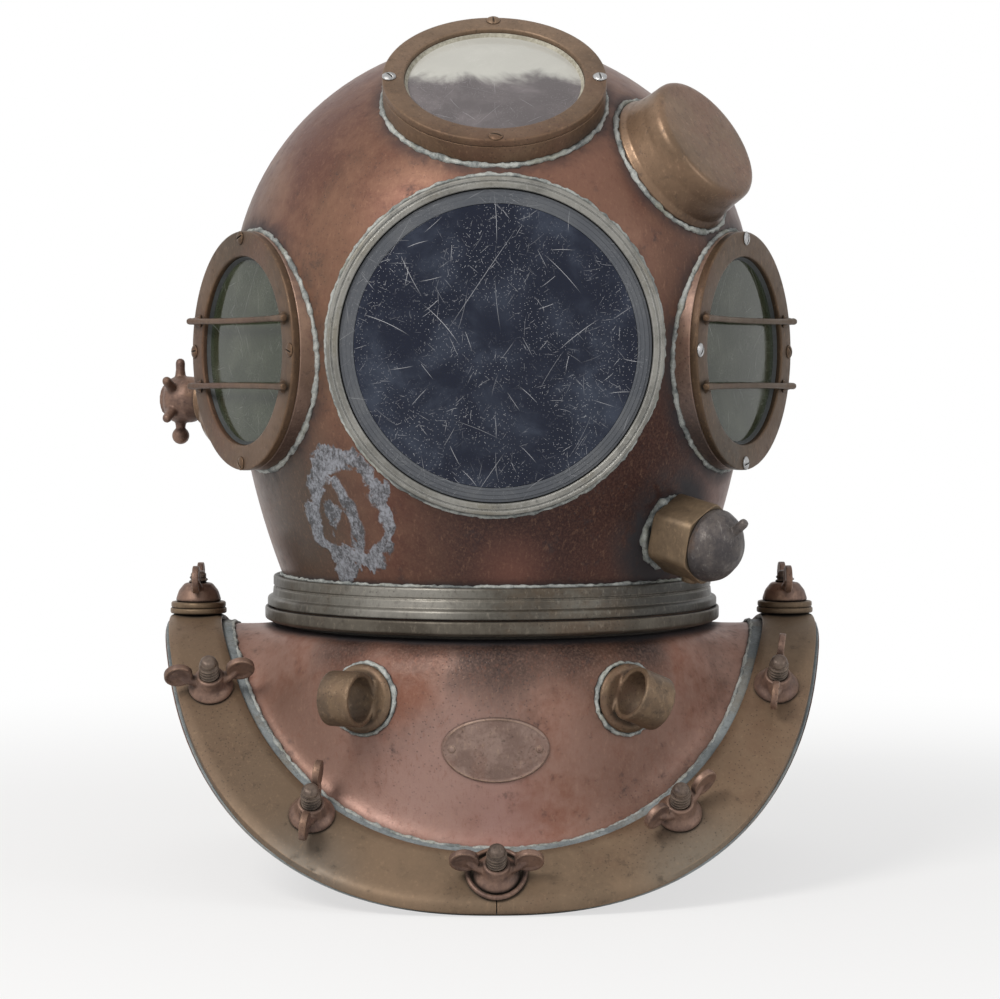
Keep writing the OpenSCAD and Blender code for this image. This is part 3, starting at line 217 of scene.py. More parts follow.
# %% [markdown]
# Old metal is never one colour. The copper of the dome is a brown patina with red and olive clouds, the
# brass is dull ochre, and both are darker in their corners, by dirt and by painted shade, and brighter where
# hands have rubbed the edges. The patina comes first: clouds of several sizes mix its colours, and zones of
# another colour lie over them. Some zones change the tone of the metal; many are painted shade and painted
# highlights, where the lamps leave a part dark or catch it.
# %% Patina
def patina(t, at, clouds, light, deep, tint, grime_and_shade, edge, zones):
    """The colour of the open surface, and how stained it is."""
    big, other, small, grain, speck, fleck = clouds
    patch = t.fade(big * 0.7 + small * 0.3, 0.42, 0.6)
    colour = t.mix(patch, light, deep)
    colour = t.mix(t.fade(other * 0.75 + small * 0.25, 0.5, 0.66) * 0.75, colour, tint)
    # Zones: some change the tone of the metal, many are painted shade, painted shadow and painted highlights.
    for middle, reach, shade, strength in zones:
        away = t.length(t.vector("SUBTRACT", at, middle))
        near = 1 - t.fade(away + (big - 0.5) * reach, reach * 0.15, reach)
        colour = t.mix(near * strength, colour, rgb(*shade))
    stain = t.fade(speck * 0.55 + small * 0.45, 0.55, 0.68)
    colour = t.mix(stain * 0.5, colour, grime_and_shade)
    colour = t.mix(t.fade(grain, 0.35, 0.75) * 0.22, colour, light)
    colour = t.mix(t.fade(fleck, 0.52, 0.72) * 0.4, colour, deep)
    return t.mix((1 - t.fade(fleck, 0.3, 0.46)) * 0.22, colour, edge), stain


print("the patina is ready")

# %% [markdown]
# Flux from the soldering left dark haloes round the fittings. A halo follows the distance from the
# fitting's axis, so it is worked out with vectors: the part along the axis is taken off, and the length
# of the rest is measured.
# %% Haloes
def flux_haloes(t, at, small, rings):
    """1 near the foot of the fittings whose axis, start, radius and reach are given."""
    haloes = None
    for axis, middle, radius, reach in rings:
        off = t.vector("SUBTRACT", at, middle)
        along = t.dot(off, axis)
        flat = t.vector("SUBTRACT", off, t.vector("MULTIPLY", axis, t.packed(along, along, along)))
        away = t.length(flat) + (small - 0.5) * (reach * 0.9)
        near = (1 - t.fade(away, radius, radius + reach)) * (along > 0.0)
        haloes = near if haloes is None else haloes.math("MAXIMUM", near)
    return haloes


print("the haloes are ready")

# %% [markdown]
# One recipe dresses every old metal. The patina gives the colour, a Bevel node compared with the plain
# normal finds the worn edges, and Ambient Occlusion finds the corners, which it darkens with dirt and with
# painted shade.
# %% Aged metal
EDGE_RADIUS = 1.1 * MM
EDGE_WEAR = 0.7
CORNER_REACH = 7 * MM
PIT_SCALE = 430
BUMP_DEPTH = 0.0006
GRAIN_SCALE = 700
SPECK_SCALE = 150
FLECK_SCALE = 480


def aged_metal(name, *colours, cloud, metal=0.5, rough=0.42, dents=0.12, corner=1.0, brush=0.0,
               rings=(), zones=(), smear=None):
    """A patina of three colours, then the colour of its dirt and painted shade, and of its worn edges."""
    light, deep, tint, grime_and_shade, edge = (rgb(*colour) for colour in colours)
    material, t, at = new_finish(name)
    big = t.noise(at, cloud, 4, 0.55, 0.6)
    other = t.noise(t.vector("ADD", at, (3.1, 1.7, 0.4)), cloud * 0.8, 3, 0.5, 0.4)
    small = t.noise(at, cloud * 9, 6, 0.65, 0.3)
    grain = t.noise(at, GRAIN_SCALE, 3, 0.6)
    speck = t.noise(at, SPECK_SCALE, 5, 0.7)
    fleck = t.noise(t.vector("MULTIPLY", at, (1.0, 1.0, 0.45)), FLECK_SCALE, 4, 0.75)
    clouds = (big, other, small, grain, speck, fleck)
    colour, stain = patina(t, at, clouds, light, deep, tint, grime_and_shade, edge, zones)

    # Painted shade: Ambient Occlusion darkens the corners towards the dark colour, together with the dirt
    # that lies there.
    inputs = {"Color": rgb(1, 1, 1), "Distance": CORNER_REACH}
    open_sky = t.add("ShaderNodeAmbientOcclusion", {"samples": 6}, inputs, "AO")
    grime_and_shade_mask = (1 - t.fade(open_sky + (small - 0.5) * 0.5, 0.3, 0.85)) * corner
    if rings:
        haloes = flux_haloes(t, at, small, rings)
        grime_and_shade_mask = grime_and_shade_mask.math("MAXIMUM", haloes * t.fade(big + small, 0.75, 1.15))
    colour = t.mix(grime_and_shade_mask.math("MINIMUM", 0.9), colour, grime_and_shade)

    plain = t.add("ShaderNodeNewGeometry", out="Normal")
    rounded = t.add("ShaderNodeBevel", {"samples": 4}, {"Radius": EDGE_RADIUS})
    edges = t.fade(1 - t.dot(plain, rounded), 0.006, 0.12)
    edges = edges * t.fade(open_sky, 0.55, 0.85) * t.fade(small + grain * 0.3, 0.35, 0.7) * EDGE_WEAR
    colour = t.mix(edges, colour, edge)

    pits = t.cells(at, PIT_SCALE, dimensions="3D")
    pits = (1 - t.fade(pits, 0.06, 0.3)) * t.fade(other + small * 0.5, 0.68, 0.86)
    colour = t.mix(pits * 0.5, colour, grime_and_shade)

    height = small * 0.5 + grain * 0.08 + big * 0.8 - pits * 0.2
    gloss = (big + speck) * 0.25 + (rough - 0.25)
    gloss = gloss + grime_and_shade_mask * 0.25 - edges * 0.12 + stain * 0.08
    if smear:
        smeared = smear(t, at, small, speck)
        ash = t.fade(small * 0.4 + grain * 0.25 + fleck * 0.35, 0.42, 0.58)
        ash = t.mix(ash, rgb(0.075, 0.078, 0.085), rgb(0.3, 0.315, 0.35))
        colour = t.mix(smeared, colour, ash)
        height = height + smeared * 0.8
        gloss = gloss + smeared * 0.15
    if brush:
        lines = t.noise(t.vector("MULTIPLY", at, (20.0, 20.0, 900.0)), 1.0, 3, 0.6)
        height = height + lines * brush
    purity = (metal - grime_and_shade_mask * 0.45 - stain * 0.15).math("MAXIMUM", 0.0)
    t.surface(Base_Color=colour, Metallic=purity, Roughness=gloss, Specular_IOR_Level=0.2,
              Normal=t.bump(height, dents * 4, BUMP_DEPTH, Normal=rounded))
    return material


print("the aged metal recipe is ready")

# %% [markdown]
# Now the metals themselves. A metal may have zones: each has a middle and a reach in metres, a colour, and
# how strongly it shows. Some change the tone of the metal; many are painted shade, painted shadow and
# painted highlights.
# %% Brass and bronze
COPPER_GRIME_AND_SHADE = (0.03, 0.03, 0.034)
BRASS_GRIME_AND_SHADE = (0.03, 0.026, 0.022)
BRONZE_GRIME_AND_SHADE = (0.02, 0.018, 0.017)
brass = aged_metal("aged_brass", (0.19, 0.135, 0.085), (0.12, 0.085, 0.055), (0.15, 0.085, 0.055),
                   BRASS_GRIME_AND_SHADE, (0.4, 0.27, 0.16), cloud=16, metal=0.45, rough=0.46)
brail_brass = aged_metal("brail_brass", (0.2, 0.138, 0.09), (0.15, 0.106, 0.07), (0.165, 0.1, 0.064),
                         BRASS_GRIME_AND_SHADE, (0.36, 0.24, 0.15), cloud=8, metal=0.4, rough=0.5, dents=0.05, zones=(
    ((-0.115, -0.17, -0.125), 0.05, (0.13, 0.12, 0.105), 0.75),
    ((-0.145, -0.12, -0.1), 0.06, (0.125, 0.088, 0.06), 0.7),
    ((0.115, -0.17, -0.125), 0.05, (0.17, 0.16, 0.135), 0.6),
    ((-0.185, -0.08, -0.07), 0.08, (0.14, 0.096, 0.064), 0.7)))
bezel_bronze = aged_metal("bezel_bronze", (0.125, 0.075, 0.045), (0.085, 0.055, 0.036), (0.11, 0.056, 0.037),
                          BRASS_GRIME_AND_SHADE, (0.4, 0.25, 0.15), cloud=20, metal=0.42, rough=0.46, zones=(
    # Painted shade on the right bezel (first zone) and low on the right (last zone); the second zone is a
    # painted highlight on the top bezel, which faces the lamps.
    ((0.17, -0.08, 0.15), 0.12, (0.065, 0.045, 0.026), 0.8),
    ((0.0, -0.09, 0.36), 0.13, (0.25, 0.175, 0.12), 0.8),
    ((0.047, -0.105, 0.262), 0.032, (0.025, 0.028, 0.032), 0.9),
    ((-0.165, -0.06, 0.215), 0.045, (0.065, 0.047, 0.03), 0.75),
    ((0.145, -0.1, 0.09), 0.05, (0.04, 0.032, 0.022), 0.8)))
wall_bronze = aged_metal("wall_bronze", (0.36, 0.235, 0.175), (0.2, 0.13, 0.105), (0.3, 0.165, 0.125),
                         COPPER_GRIME_AND_SHADE, (0.5, 0.34, 0.25), cloud=18, rough=0.4, corner=0.25, brush=0.1, zones=(
    # Painted shade: both zones darken the walls of the side ports on their lower sides.
    ((-0.12, -0.09, 0.1), 0.07, (0.07, 0.047, 0.04), 0.85),
    ((0.115, -0.095, 0.1), 0.07, (0.06, 0.056, 0.06), 0.85)))
cup_bronze = aged_metal("cup_bronze", (0.19, 0.122, 0.078), (0.13, 0.086, 0.055), (0.19, 0.1, 0.068),
                        COPPER_GRIME_AND_SHADE, (0.5, 0.32, 0.2), cloud=16, rough=0.36, corner=0.7, brush=0.1, zones=(
    # Painted shade on the lower side of the cup, then a painted highlight on the left of its rim.
    ((0.128, -0.1, 0.21), 0.048, (0.045, 0.026, 0.018), 0.85),
    ((0.083, -0.106, 0.272), 0.04, (0.28, 0.185, 0.12), 0.7)))
ring_bronze = aged_metal("ring_bronze", (0.115, 0.108, 0.092), (0.062, 0.055, 0.046), (0.095, 0.07, 0.048),
                         BRONZE_GRIME_AND_SHADE, (0.4, 0.36, 0.3), cloud=22, metal=0.45, rough=0.4, brush=0.15, zones=(
    # A painted highlight on the front left of the ring, and painted shade on its right.
    ((-0.05, -0.12, 0.012), 0.055, (0.26, 0.25, 0.225), 0.85),
    ((0.105, -0.08, 0.012), 0.075, (0.035, 0.035, 0.033), 0.8)))
plate_bronze = aged_metal("plate_bronze", (0.105, 0.092, 0.074), (0.065, 0.055, 0.043), (0.1, 0.068, 0.046),
                          BRONZE_GRIME_AND_SHADE, (0.34, 0.29, 0.23), cloud=22, metal=0.45, rough=0.4, brush=0.15)
dark_bronze = aged_metal("dark_bronze", (0.23, 0.145, 0.11), (0.12, 0.077, 0.064), (0.2, 0.12, 0.08),
                         (0.022, 0.019, 0.018), (0.4, 0.27, 0.18), cloud=45, metal=0.42, rough=0.44)
print("brass and bronze:", [m.name for m in (brass, brail_brass, bezel_bronze, wall_bronze, dark_bronze)])

# %% [markdown]
# Every fitting of the helmet is set out from its own frame, in which +Z points away from the helmet and
# +Y up its surface. Sizes are written in millimetres, as on a drawing, and solid() turns them into metres
# when the mesh is made.
# %% Frames of the fittings
DOME_R = 155.5
DOME_Z = 181.0
TAPER_BACK = 300.0
FACE_Z = 153.0
SIDE_Z = 151.0
SIDE_TURN = 61.3
SIDE_BACK = 13.5
TOP_TILT = 51.5
CUP_TURN = 51.5
CUP_TILT = 30.3
EXHAUST_Z = 122.0
COCK_Z = 48.0
COCK_TURN = 47
COCK_LIFT = 12
INLET_Z = 118.0
CABLE_Z = 140.0
BEND_LEAN = 12.0


def shift(x=0.0, y=0.0, z=0.0):
    return Matrix.Translation((x, y, z))


def spin(angle, axis="Z"):
    return Matrix.Rotation(radians(angle), 4, axis)


def dome_at(z):
    """Radius of the dome at a height."""
    if z >= DOME_Z:
        return sqrt(max(0.0, DOME_R ** 2 - (z - DOME_Z) ** 2))
    return sqrt((DOME_R + TAPER_BACK) ** 2 - (z - DOME_Z) ** 2) - TAPER_BACK


def aim(turn, tilt, height=0.0, side=0.0):
    """A frame that looks out from the helmet's axis, turned from the front and tilted up."""
    turned = spin(turn) @ spin(90 - tilt, "X")
    return shift(z=height) @ turned @ shift(side)


def past_bend(out, bend_r):
    """The frame at the end of a pipe that bends down."""
    a = radians(90 - BEND_LEAN)
    return shift(y=-bend_r * (1 - cos(a)), z=out + bend_r * sin(a)) @ spin(90 - BEND_LEAN, "X")


face_port = aim(0, 0, FACE_Z)
top_port = aim(0, TOP_TILT, DOME_Z)
side_ports = {"left": aim(-SIDE_TURN, 0, SIDE_Z, -SIDE_BACK), "right": aim(SIDE_TURN, 0, SIDE_Z, SIDE_BACK)}
cup_place = aim(CUP_TURN, CUP_TILT, DOME_Z)
exhaust_place = aim(-110, 0, EXHAUST_Z)
cock_foot = shift(z=COCK_Z) @ spin(COCK_TURN) @ shift(y=-dome_at(COCK_Z))
cock_place = cock_foot @ spin(90 + COCK_LIFT, "X")
inlet_place = aim(162, 0, INLET_Z)
cable_place = aim(-162, 0, CABLE_Z)
print("the face port looks along", [round(v, 2) for v in face_port.to_3x3() @ Vector((0, 0, 1))])

# %% [markdown]
# A solid starts as points and faces in millimetres. Doubles are merged and normals turned outwards, and
# smooth shading stops at every edge that is sharper than 38 degrees.
# %% Solids in millimetres
SHARP = radians(38)


def new_object(name, points, edges, faces):
    mesh = bpy.data.meshes.new(name)
    mesh.from_pydata(points, edges, faces)
    made = bpy.data.objects.new(name, mesh)
    bpy.context.scene.collection.objects.link(made)
    return made


def solid(name, points, faces, place=None, finish=None, merge=0.002):
    """A closed mesh object from points in millimetres."""
    made = new_object(name, [(place @ Vector(p) if place else Vector(p)) * MM for p in points], [], faces)
    mesh = made.data
    bm = bmesh.new()
    bm.from_mesh(mesh)
    bmesh.ops.remove_doubles(bm, verts=bm.verts, dist=merge * MM)
    bmesh.ops.dissolve_degenerate(bm, edges=bm.edges, dist=merge * MM)
    bmesh.ops.recalc_face_normals(bm, faces=bm.faces)
    bm.to_mesh(mesh)
    bm.free()
    mesh.shade_smooth()
    mesh.set_sharp_from_angle(angle=SHARP)
    if finish:
        mesh.materials.append(finish)
    return made


print("edges stay sharp over", round(degrees(SHARP)), "degrees")

# %% [markdown]
# Turned pieces are lathe work on the real helmet, so they are lathe work here: a half section, with a
# radius at each corner, is carried round an axis. Corners are softened in the section itself, which puts
# the round edge that catches the light into the mesh and not only into the shading.
# %% Lathe work
CORNER_STEPS = 4


def soften(section):
    """Rounds the corners of a closed section of (r, z, radius) points."""
    loop = []
    count = len(section)
    for i, (r, z, *radius) in enumerate(section):
        here = Vector((r, z))
        reach = radius[0] if radius else 0.0
        if not reach:
            loop.append(here)
            continue
        back = Vector(section[i - 1][:2]) - here
        ahead = Vector(section[(i + 1) % count][:2]) - here
        half = back.angle(ahead) / 2
        cut = min(reach / tan(half), back.length * 0.49, ahead.length * 0.49)
        start = here + back.normalized() * cut
        end = here + ahead.normalized() * cut
        for k in range(CORNER_STEPS + 1):
            u = k / CORNER_STEPS
            loop.append(start * (1 - u) ** 2 + here * 2 * u * (1 - u) + end * u * u)
    return loop


def skin(rings, size, closed=False):
    """Faces over rings of size points each; the ends are capped unless the last ring meets the first."""
    faces = []
    for j in range(rings if closed else rings - 1):
        a, b = j * size, (j + 1) % rings * size
        faces += [(a + i, a + (i + 1) % size, b + (i + 1) % size, b + i) for i in range(size)]
    if not closed:
        faces += [tuple(range(size)), tuple(range((rings - 1) * size, rings * size))]
    return faces


def angles(count):
    return [2 * pi * i / count for i in range(count)]


def polar(r, a, z=0.0):
    return r * cos(a), r * sin(a), z


def lathe(section, turns, start=0.0, span=360.0):
    """Points and faces of a section carried round +Z."""
    loop = soften(section)
    full = span >= 360
    rings = turns if full else turns + 1
    points = []
    for j in range(rings):
        a = radians(start + span * j / turns)
        points += [polar(p.x, a, p.y) for p in loop]
    return points, skin(rings, len(loop), full)


print("a softened corner has", len(soften([(1, 0), (2, 0, 0.1), (2, 1), (1, 1)])) - 3, "points")

# %% [markdown]
# A rod follows its points and may change its thickness. Shapes are lists of points and faces until they
# become a solid, so they can be moved to their places and joined before that.
# %% Rods
def tube(path, radii, sides, flat=1.0):
    """A rod along points, with a radius at each; flat squeezes it along its second axis."""
    points = []
    up = Vector((0, 0, 1)) if abs((path[-1] - path[0]).normalized().z) < 0.9 else Vector((0, 1, 0))
    for i, p in enumerate(path):
        ahead = (path[min(i + 1, len(path) - 1)] - path[max(i - 1, 0)]).normalized()
        across = ahead.cross(up).normalized()
        rise = across.cross(ahead)
        points += [p + radii[i] * (across * cos(a) * flat + rise * sin(a)) for a in angles(sides)]
    return points, skin(len(path), sides)


def moved(shape, place):
    return [place @ Vector(p) for p in shape[0]], shape[1]


def joined(*shapes):
    points, faces = [], []
    for part_points, part_faces in shapes:
        base = len(points)
        points += part_points
        faces += [tuple(base + i for i in face) for face in part_faces]
    return points, faces


rod = tube([Vector((x, 0, 0)) for x in (0, 1, 2)], [1, 1, 1], 6)
print("a rod of 3 points and 6 sides has", len(rod[1]), "faces")

# %% [markdown]
# A casting is drawn as plain shapes that overlap. A voxel remesh melts them into one skin and a little
# smoothing fills the corners, as a founder's pattern has them. Every modifier is baked into a plain mesh.
# %% Castings and cuts
def bake_modifiers(made, finish):
    """Turns the evaluated object into its own plain mesh."""
    seen = made.evaluated_get(bpy.context.evaluated_depsgraph_get())
    mesh = bpy.data.meshes.new_from_object(seen)
    old = made.data
    made.modifiers.clear()
    made.data = mesh
    bpy.data.meshes.remove(old)
    mesh.name = made.name
    if not mesh.materials:
        mesh.materials.append(finish)
    mesh.materials[0] = finish


def cast(name, shapes, place, finish, voxel, melt=3):
    """Melts overlapping shapes into one skin."""
    made = solid(name, *joined(*shapes), place, finish)
    remesh = made.modifiers.new("skin", "REMESH")
    remesh.mode = "VOXEL"
    remesh.voxel_size = voxel * MM
    remesh.use_smooth_shade = True
    relax = made.modifiers.new("melt", "SMOOTH")
    relax.factor = 0.5
    relax.iterations = melt
    bake_modifiers(made, finish)
    return made


def discard(made):
    mesh = made.data
    bpy.data.objects.remove(made)
    bpy.data.meshes.remove(mesh)


def cut_out(made, cutter, finish):
    """Cuts a shape out of a piece and throws the shape away."""
    cut = made.modifiers.new("cut", "BOOLEAN")
    cut.operation = "DIFFERENCE"
    cut.solver = "EXACT"
    cut.object = cutter
    bake_modifiers(made, finish)
    discard(cutter)
    return made


print("castings are smoothed in up to", cast.__defaults__[0], "rounds")

# %% [markdown]
# A finished piece is dressed: it rides on the body that moves it and hides the solids that it stands for.
# %% Dressing
def dress(made, body, slot, *nodes):
    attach(made, body)
    if nodes:
        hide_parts(*nodes)
    print(f"{made.name}: {len(made.data.polygons)} faces")


def dress_turned(name, section, turns, place, finish, slot, *nodes):
    """A turned piece of the bonnet, with the solids that it stands for; its slot is not used."""
    dress(solid(name, *lathe(section, turns), place, finish), "bonnet", slot, *nodes)


# %% [markdown]
# What repeats or follows a path is left to Geometry Nodes. A tree names its inputs, ends by making its
# copies real and giving them their finish, and is run once: its result is kept as a plain mesh.
# %% Geometry trees
def geometry_tree(name, sockets):
    """A Geometry Nodes tree with named inputs, and the wires that come from them."""
    nodes = bpy.data.node_groups.new(name, "GeometryNodeTree")
    nodes.interface.new_socket("Geometry", in_out="OUTPUT", socket_type="NodeSocketGeometry")
    nodes.interface.new_socket("Geometry", in_out="INPUT", socket_type="NodeSocketGeometry")
    for label, kind in (*sockets, ("Finish", "Material")):
        nodes.interface.new_socket(label, in_out="INPUT", socket_type="NodeSocket" + kind)
    t = Tree(nodes)
    source = nodes.nodes.new("NodeGroupInput")
    return t, {s.name: Wire(t, s) for s in source.outputs if s.name}


def end_tree(t, geometry, finish):
    real = t.add("GeometryNodeRealizeInstances", None, [geometry])
    painted = t.add("GeometryNodeSetMaterial", None, {"Geometry": real, "Material": finish})
    t.add("NodeGroupOutput", None, [painted])
    return t.nodes


def grow(made, tree, finish, **values):
    """Runs a tree on an object with the given inputs and keeps the plain mesh."""
    modifier = made.modifiers.new("grow", "NODES")
    modifier.node_group = tree
    values["Finish"] = finish
    for socket in tree.interface.items_tree:
        if socket.in_out == "INPUT" and socket.name in values:
            modifier[socket.identifier] = values[socket.name]
    bake_modifiers(made, finish)
    made.data.shade_smooth()
    return made


print("geometry trees are ready")

# %% [markdown]
# Solder is what the eye meets first on this helmet: a pale, lumpy line round every fitting. It is a bead
# along a path, so one tree makes all of them. The path is resampled, swept with a small ring whose size
# wanders, and pushed about by noise.
# %% A tree for beads and wires
BEAD_SIDES = 8
LUMP_SCALE = 130
WANDER_SCALE = 260.0


def ring_of(t, radius, sides):
    """A ring to sweep along a path."""
    inputs = {"Resolution": sides, "Radius": radius}
    return t.add("GeometryNodeCurvePrimitiveCircle", {"mode": "RADIUS"}, inputs, "Curve")


t, given = geometry_tree("bead_on_path", [("Width", "Float"), ("Step", "Float"), ("Lumps", "Float")])
path = t.add("GeometryNodeMeshToCurve", None, [given["Geometry"]])
path = t.add("GeometryNodeResampleCurve", {"mode": "LENGTH"}, {"Curve": path, "Length": given["Step"]})
spot = t.add("GeometryNodeInputPosition")
swell = t.noise(spot, LUMP_SCALE, 3, 0.6) * 1.5 + 0.25
size = (swell - 1.0) * given["Lumps"] + 1.0
ring = ring_of(t, given["Width"], BEAD_SIDES)
sweep = {"Curve": path, "Profile Curve": ring, "Scale": size, "Fill Caps": True}
bead_skin = t.add("GeometryNodeCurveToMesh", None, sweep)
wander = t.noise(spot, WANDER_SCALE, 3.0, out="Color")
push = t.vector("SCALE", t.vector("SUBTRACT", wander, (0.5, 0.5, 0.5)))
t.nodes.links.new((given["Lumps"] * given["Width"] * 1.6).socket, push.socket.node.inputs["Scale"])
bead_skin = t.add("GeometryNodeSetPosition", None, {"Geometry": bead_skin, "Offset": push})
bead_tree = end_tree(t, bead_skin, given["Finish"])


def bead(name, loops, finish, width, step, lumps):
    """Beads along closed loops of points in millimetres."""
    points, edges = [], []
    for loop in loops:
        base = len(points)
        points += [Vector(p) * MM for p in loop]
        edges += [(base + i, base + (i + 1) % len(loop)) for i in range(len(loop))]
    made = new_object(name, points, edges, [])
    return grow(made, bead_tree, finish, Width=width * MM, Step=step * MM, Lumps=lumps)


print("bead tree:", len(bead_tree.nodes), "nodes")

# %% [markdown]
# Screws, studs and nuts repeat, so the second tree stands one pattern piece on many points. Each point
# carries its own turn as an attribute, which lets every screw slot lie at its own angle.
# %% A tree for repeated pieces
t, given = geometry_tree("set_out", [("Piece", "Object")])
facing = t.add("GeometryNodeInputNamedAttribute", {"data_type": "FLOAT_VECTOR"}, ["facing"])
pattern = t.add("GeometryNodeObjectInfo", {"transform_space": "ORIGINAL"}, [given["Piece"]], "Geometry")
stood = {"Points": given["Geometry"], "Instance": pattern, "Rotation": facing}
set_out_tree = end_tree(t, t.add("GeometryNodeInstanceOnPoints", None, stood), given["Finish"])


def set_out(name, piece, places, finish):
    """Copies a pattern piece to every place and joins the copies in one mesh."""
    made = new_object(name, [place.translation * MM for place in places], [], [])
    turns = made.data.attributes.new("facing", "FLOAT_VECTOR", "POINT")
    for value, place in zip(turns.data, places):
        value.vector = place.to_euler("XYZ")
    grow(made, set_out_tree, finish, Piece=piece)
    made.data.set_sharp_from_angle(angle=SHARP)
    return made


print("set-out tree:", len(set_out_tree.nodes), "nodes")

# %% [markdown]
# Low on the dome a fitting was once taken off, and its solder stayed. The scar is drawn in two directions
# of the sheet, u to the right and v up, in which it is a ragged ring with an island and a bar.
# %% The old patch
PATCH_TURN = -36.0
PATCH_Z = 59.0
PATCH_HALF_W = 33 * MM
PATCH_HALF_H = 37 * MM
patch = aim(PATCH_TURN, 0, PATCH_Z)
PATCH_AT = tuple((patch @ Vector((0, 0, dome_at(PATCH_Z)))) * MM)
PATCH_RIGHT = tuple(patch.to_3x3() @ Vector((1, 0, 0)))
PATCH_OUT = tuple(patch.to_3x3() @ Vector((0, 0, 1)))


def old_patch(t, at, small, speck):
    """Where a fitting was taken off: a ragged ring of old solder with an island in it."""
    off = t.vector("SUBTRACT", at, PATCH_AT)
    u = t.dot(off, PATCH_RIGHT) * (1 / PATCH_HALF_W)
    v = t.dot(off, (0, 0, 1)) * (1 / PATCH_HALF_H)
    lumps = t.noise(at, 38, 3, 0.6, 0.8)
    round_off = (u * u + v * v) ** 0.5
    away = round_off + (lumps - 0.5) * 1.1 + (small - 0.5) * 0.6 + u * 0.1
    ring = t.fade(away, 0.55, 0.62) * (1 - t.fade(away, 0.9, 0.96))
    from_bar = (u + v * 0.3 - 0.04 + v * v * 0.5).math("ABSOLUTE") + (small - 0.5) * 0.4
    bar = (1 - t.fade(from_bar, 0.09, 0.15)) * (round_off < 0.62)
    spot = ((u + 0.36) ** 2 + v * v) ** 0.5 + (small - 0.5) * 0.8
    island = (1 - t.fade(spot, 0.12, 0.18)).math("MAXIMUM", bar)
    holes = t.fade(speck * 0.6 + small * 0.4, 0.36, 0.43)
    front = t.dot(at, PATCH_OUT) > 0.0
    return ring.math("MAXIMUM", island) * holes * front * 0.92


print("the scar lies at", [round(v, 3) for v in PATCH_AT])

# %% [markdown]
# The dome is one spun sheet of copper. It has the most colour of all: warm brown with redder clouds round
# the face port, olive where it curves away, and blue-black haloes where flux ran beside the solder. Under the
# face port, low on the right and on the far right it is darkened by painted shade. Each halo is worked out
# from the axis and the radius of the fitting that it surrounds.
# %% Copper
HALO_BACK = 60.0


def halo(place, radius, reach):
    axis = (place.to_3x3() @ Vector((0, 0, 1))).normalized()
    start = place.translation - axis * HALO_BACK
    return tuple(axis), tuple(start * MM), radius * MM, reach * MM


dome_halos = [halo(top_port, 62, 13), halo(cup_place, 43, 12), halo(exhaust_place, 30, 16),
              halo(side_ports["left"], 68, 15), halo(side_ports["right"], 68, 15),
              halo(cock_place, 26, 22), halo(face_port, 92, 4)]
copper = aged_metal("spun_copper", (0.19, 0.1, 0.066), (0.11, 0.047, 0.034), (0.125, 0.085, 0.057),
                    COPPER_GRIME_AND_SHADE, (0.34, 0.19, 0.12), cloud=7, metal=0.42, rough=0.4, dents=0.12,
                    rings=dome_halos, smear=old_patch, zones=(
    # Painted shade: the third, fourth and fifth zones darken the dome under the face port, low on the right
    # and on the far right.
    ((0.03, -0.11, 0.27), 0.09, (0.21, 0.105, 0.078), 0.6),
    ((-0.155, 0.0, 0.2), 0.1, (0.105, 0.086, 0.056), 0.8),
    ((0.02, -0.14, 0.05), 0.12, (0.03, 0.017, 0.018), 0.92),
    ((0.09, -0.115, 0.09), 0.12, (0.028, 0.009, 0.007), 0.95),
    ((0.14, -0.05, 0.2), 0.13, (0.05, 0.022, 0.018), 0.8),
    ((-0.11, -0.08, 0.06), 0.085, (0.05, 0.043, 0.035), 0.88),
    ((0.012, -0.14, 0.022), 0.035, (0.2, 0.085, 0.062), 0.7)))
print("haloes on the dome:", len(dome_halos))

# %% [markdown]
# The breastplate was beaten from a redder sheet, and a band of painted shadow lies under the neck rings,
# where they shade the chest. The other metals of this helmet are grey: tin, pewter, old solder and the steel
# of a few screws.
# %% Chest copper and grey metals
# Painted shadow: five dark zones in a row on the chest, just under the neck rings.
NECK_SHADE_R = 0.124
painted_neck_shadow = [((NECK_SHADE_R * sin(radians(a)), -NECK_SHADE_R * cos(radians(a)), -0.019), 0.036,
               (0.012, 0.009, 0.009), 0.92) for a in (-38, -19, 0, 19, 38)]
chest_copper = aged_metal("chest_copper", (0.28, 0.165, 0.13), (0.2, 0.085, 0.055), (0.135, 0.092, 0.077),
                          COPPER_GRIME_AND_SHADE, (0.38, 0.23, 0.16), cloud=13, metal=0.38, rough=0.46, dents=0.2,
                          zones=(
    # Painted shade: the second zone darkens the right of the chest; the last five are the painted shadow of
    # the neck rings.
    ((-0.13, -0.11, -0.06), 0.08, (0.15, 0.085, 0.062), 0.6),
    ((0.07, -0.125, -0.012), 0.06, (0.11, 0.053, 0.031), 0.8),
    ((0.09, -0.13, -0.09), 0.07, (0.16, 0.092, 0.07), 0.7),
    ((-0.035, -0.15, -0.09), 0.07, (0.35, 0.225, 0.195), 0.75),
    ((0.008, -0.165, -0.115), 0.05, (0.36, 0.21, 0.19), 0.8), *painted_neck_shadow))
lining = aged_metal("tinned_lining", (0.2, 0.17, 0.14), (0.15, 0.12, 0.1), (0.17, 0.1, 0.075),
                    COPPER_GRIME_AND_SHADE, (0.3, 0.25, 0.2), cloud=14, metal=0.4, rough=0.5)
pewter = aged_metal("pewter_ring", (0.25, 0.245, 0.225), (0.15, 0.148, 0.135), (0.19, 0.175, 0.14),
                    (0.05, 0.054, 0.055), (0.5, 0.5, 0.48), cloud=30, metal=0.4, dents=0.2)
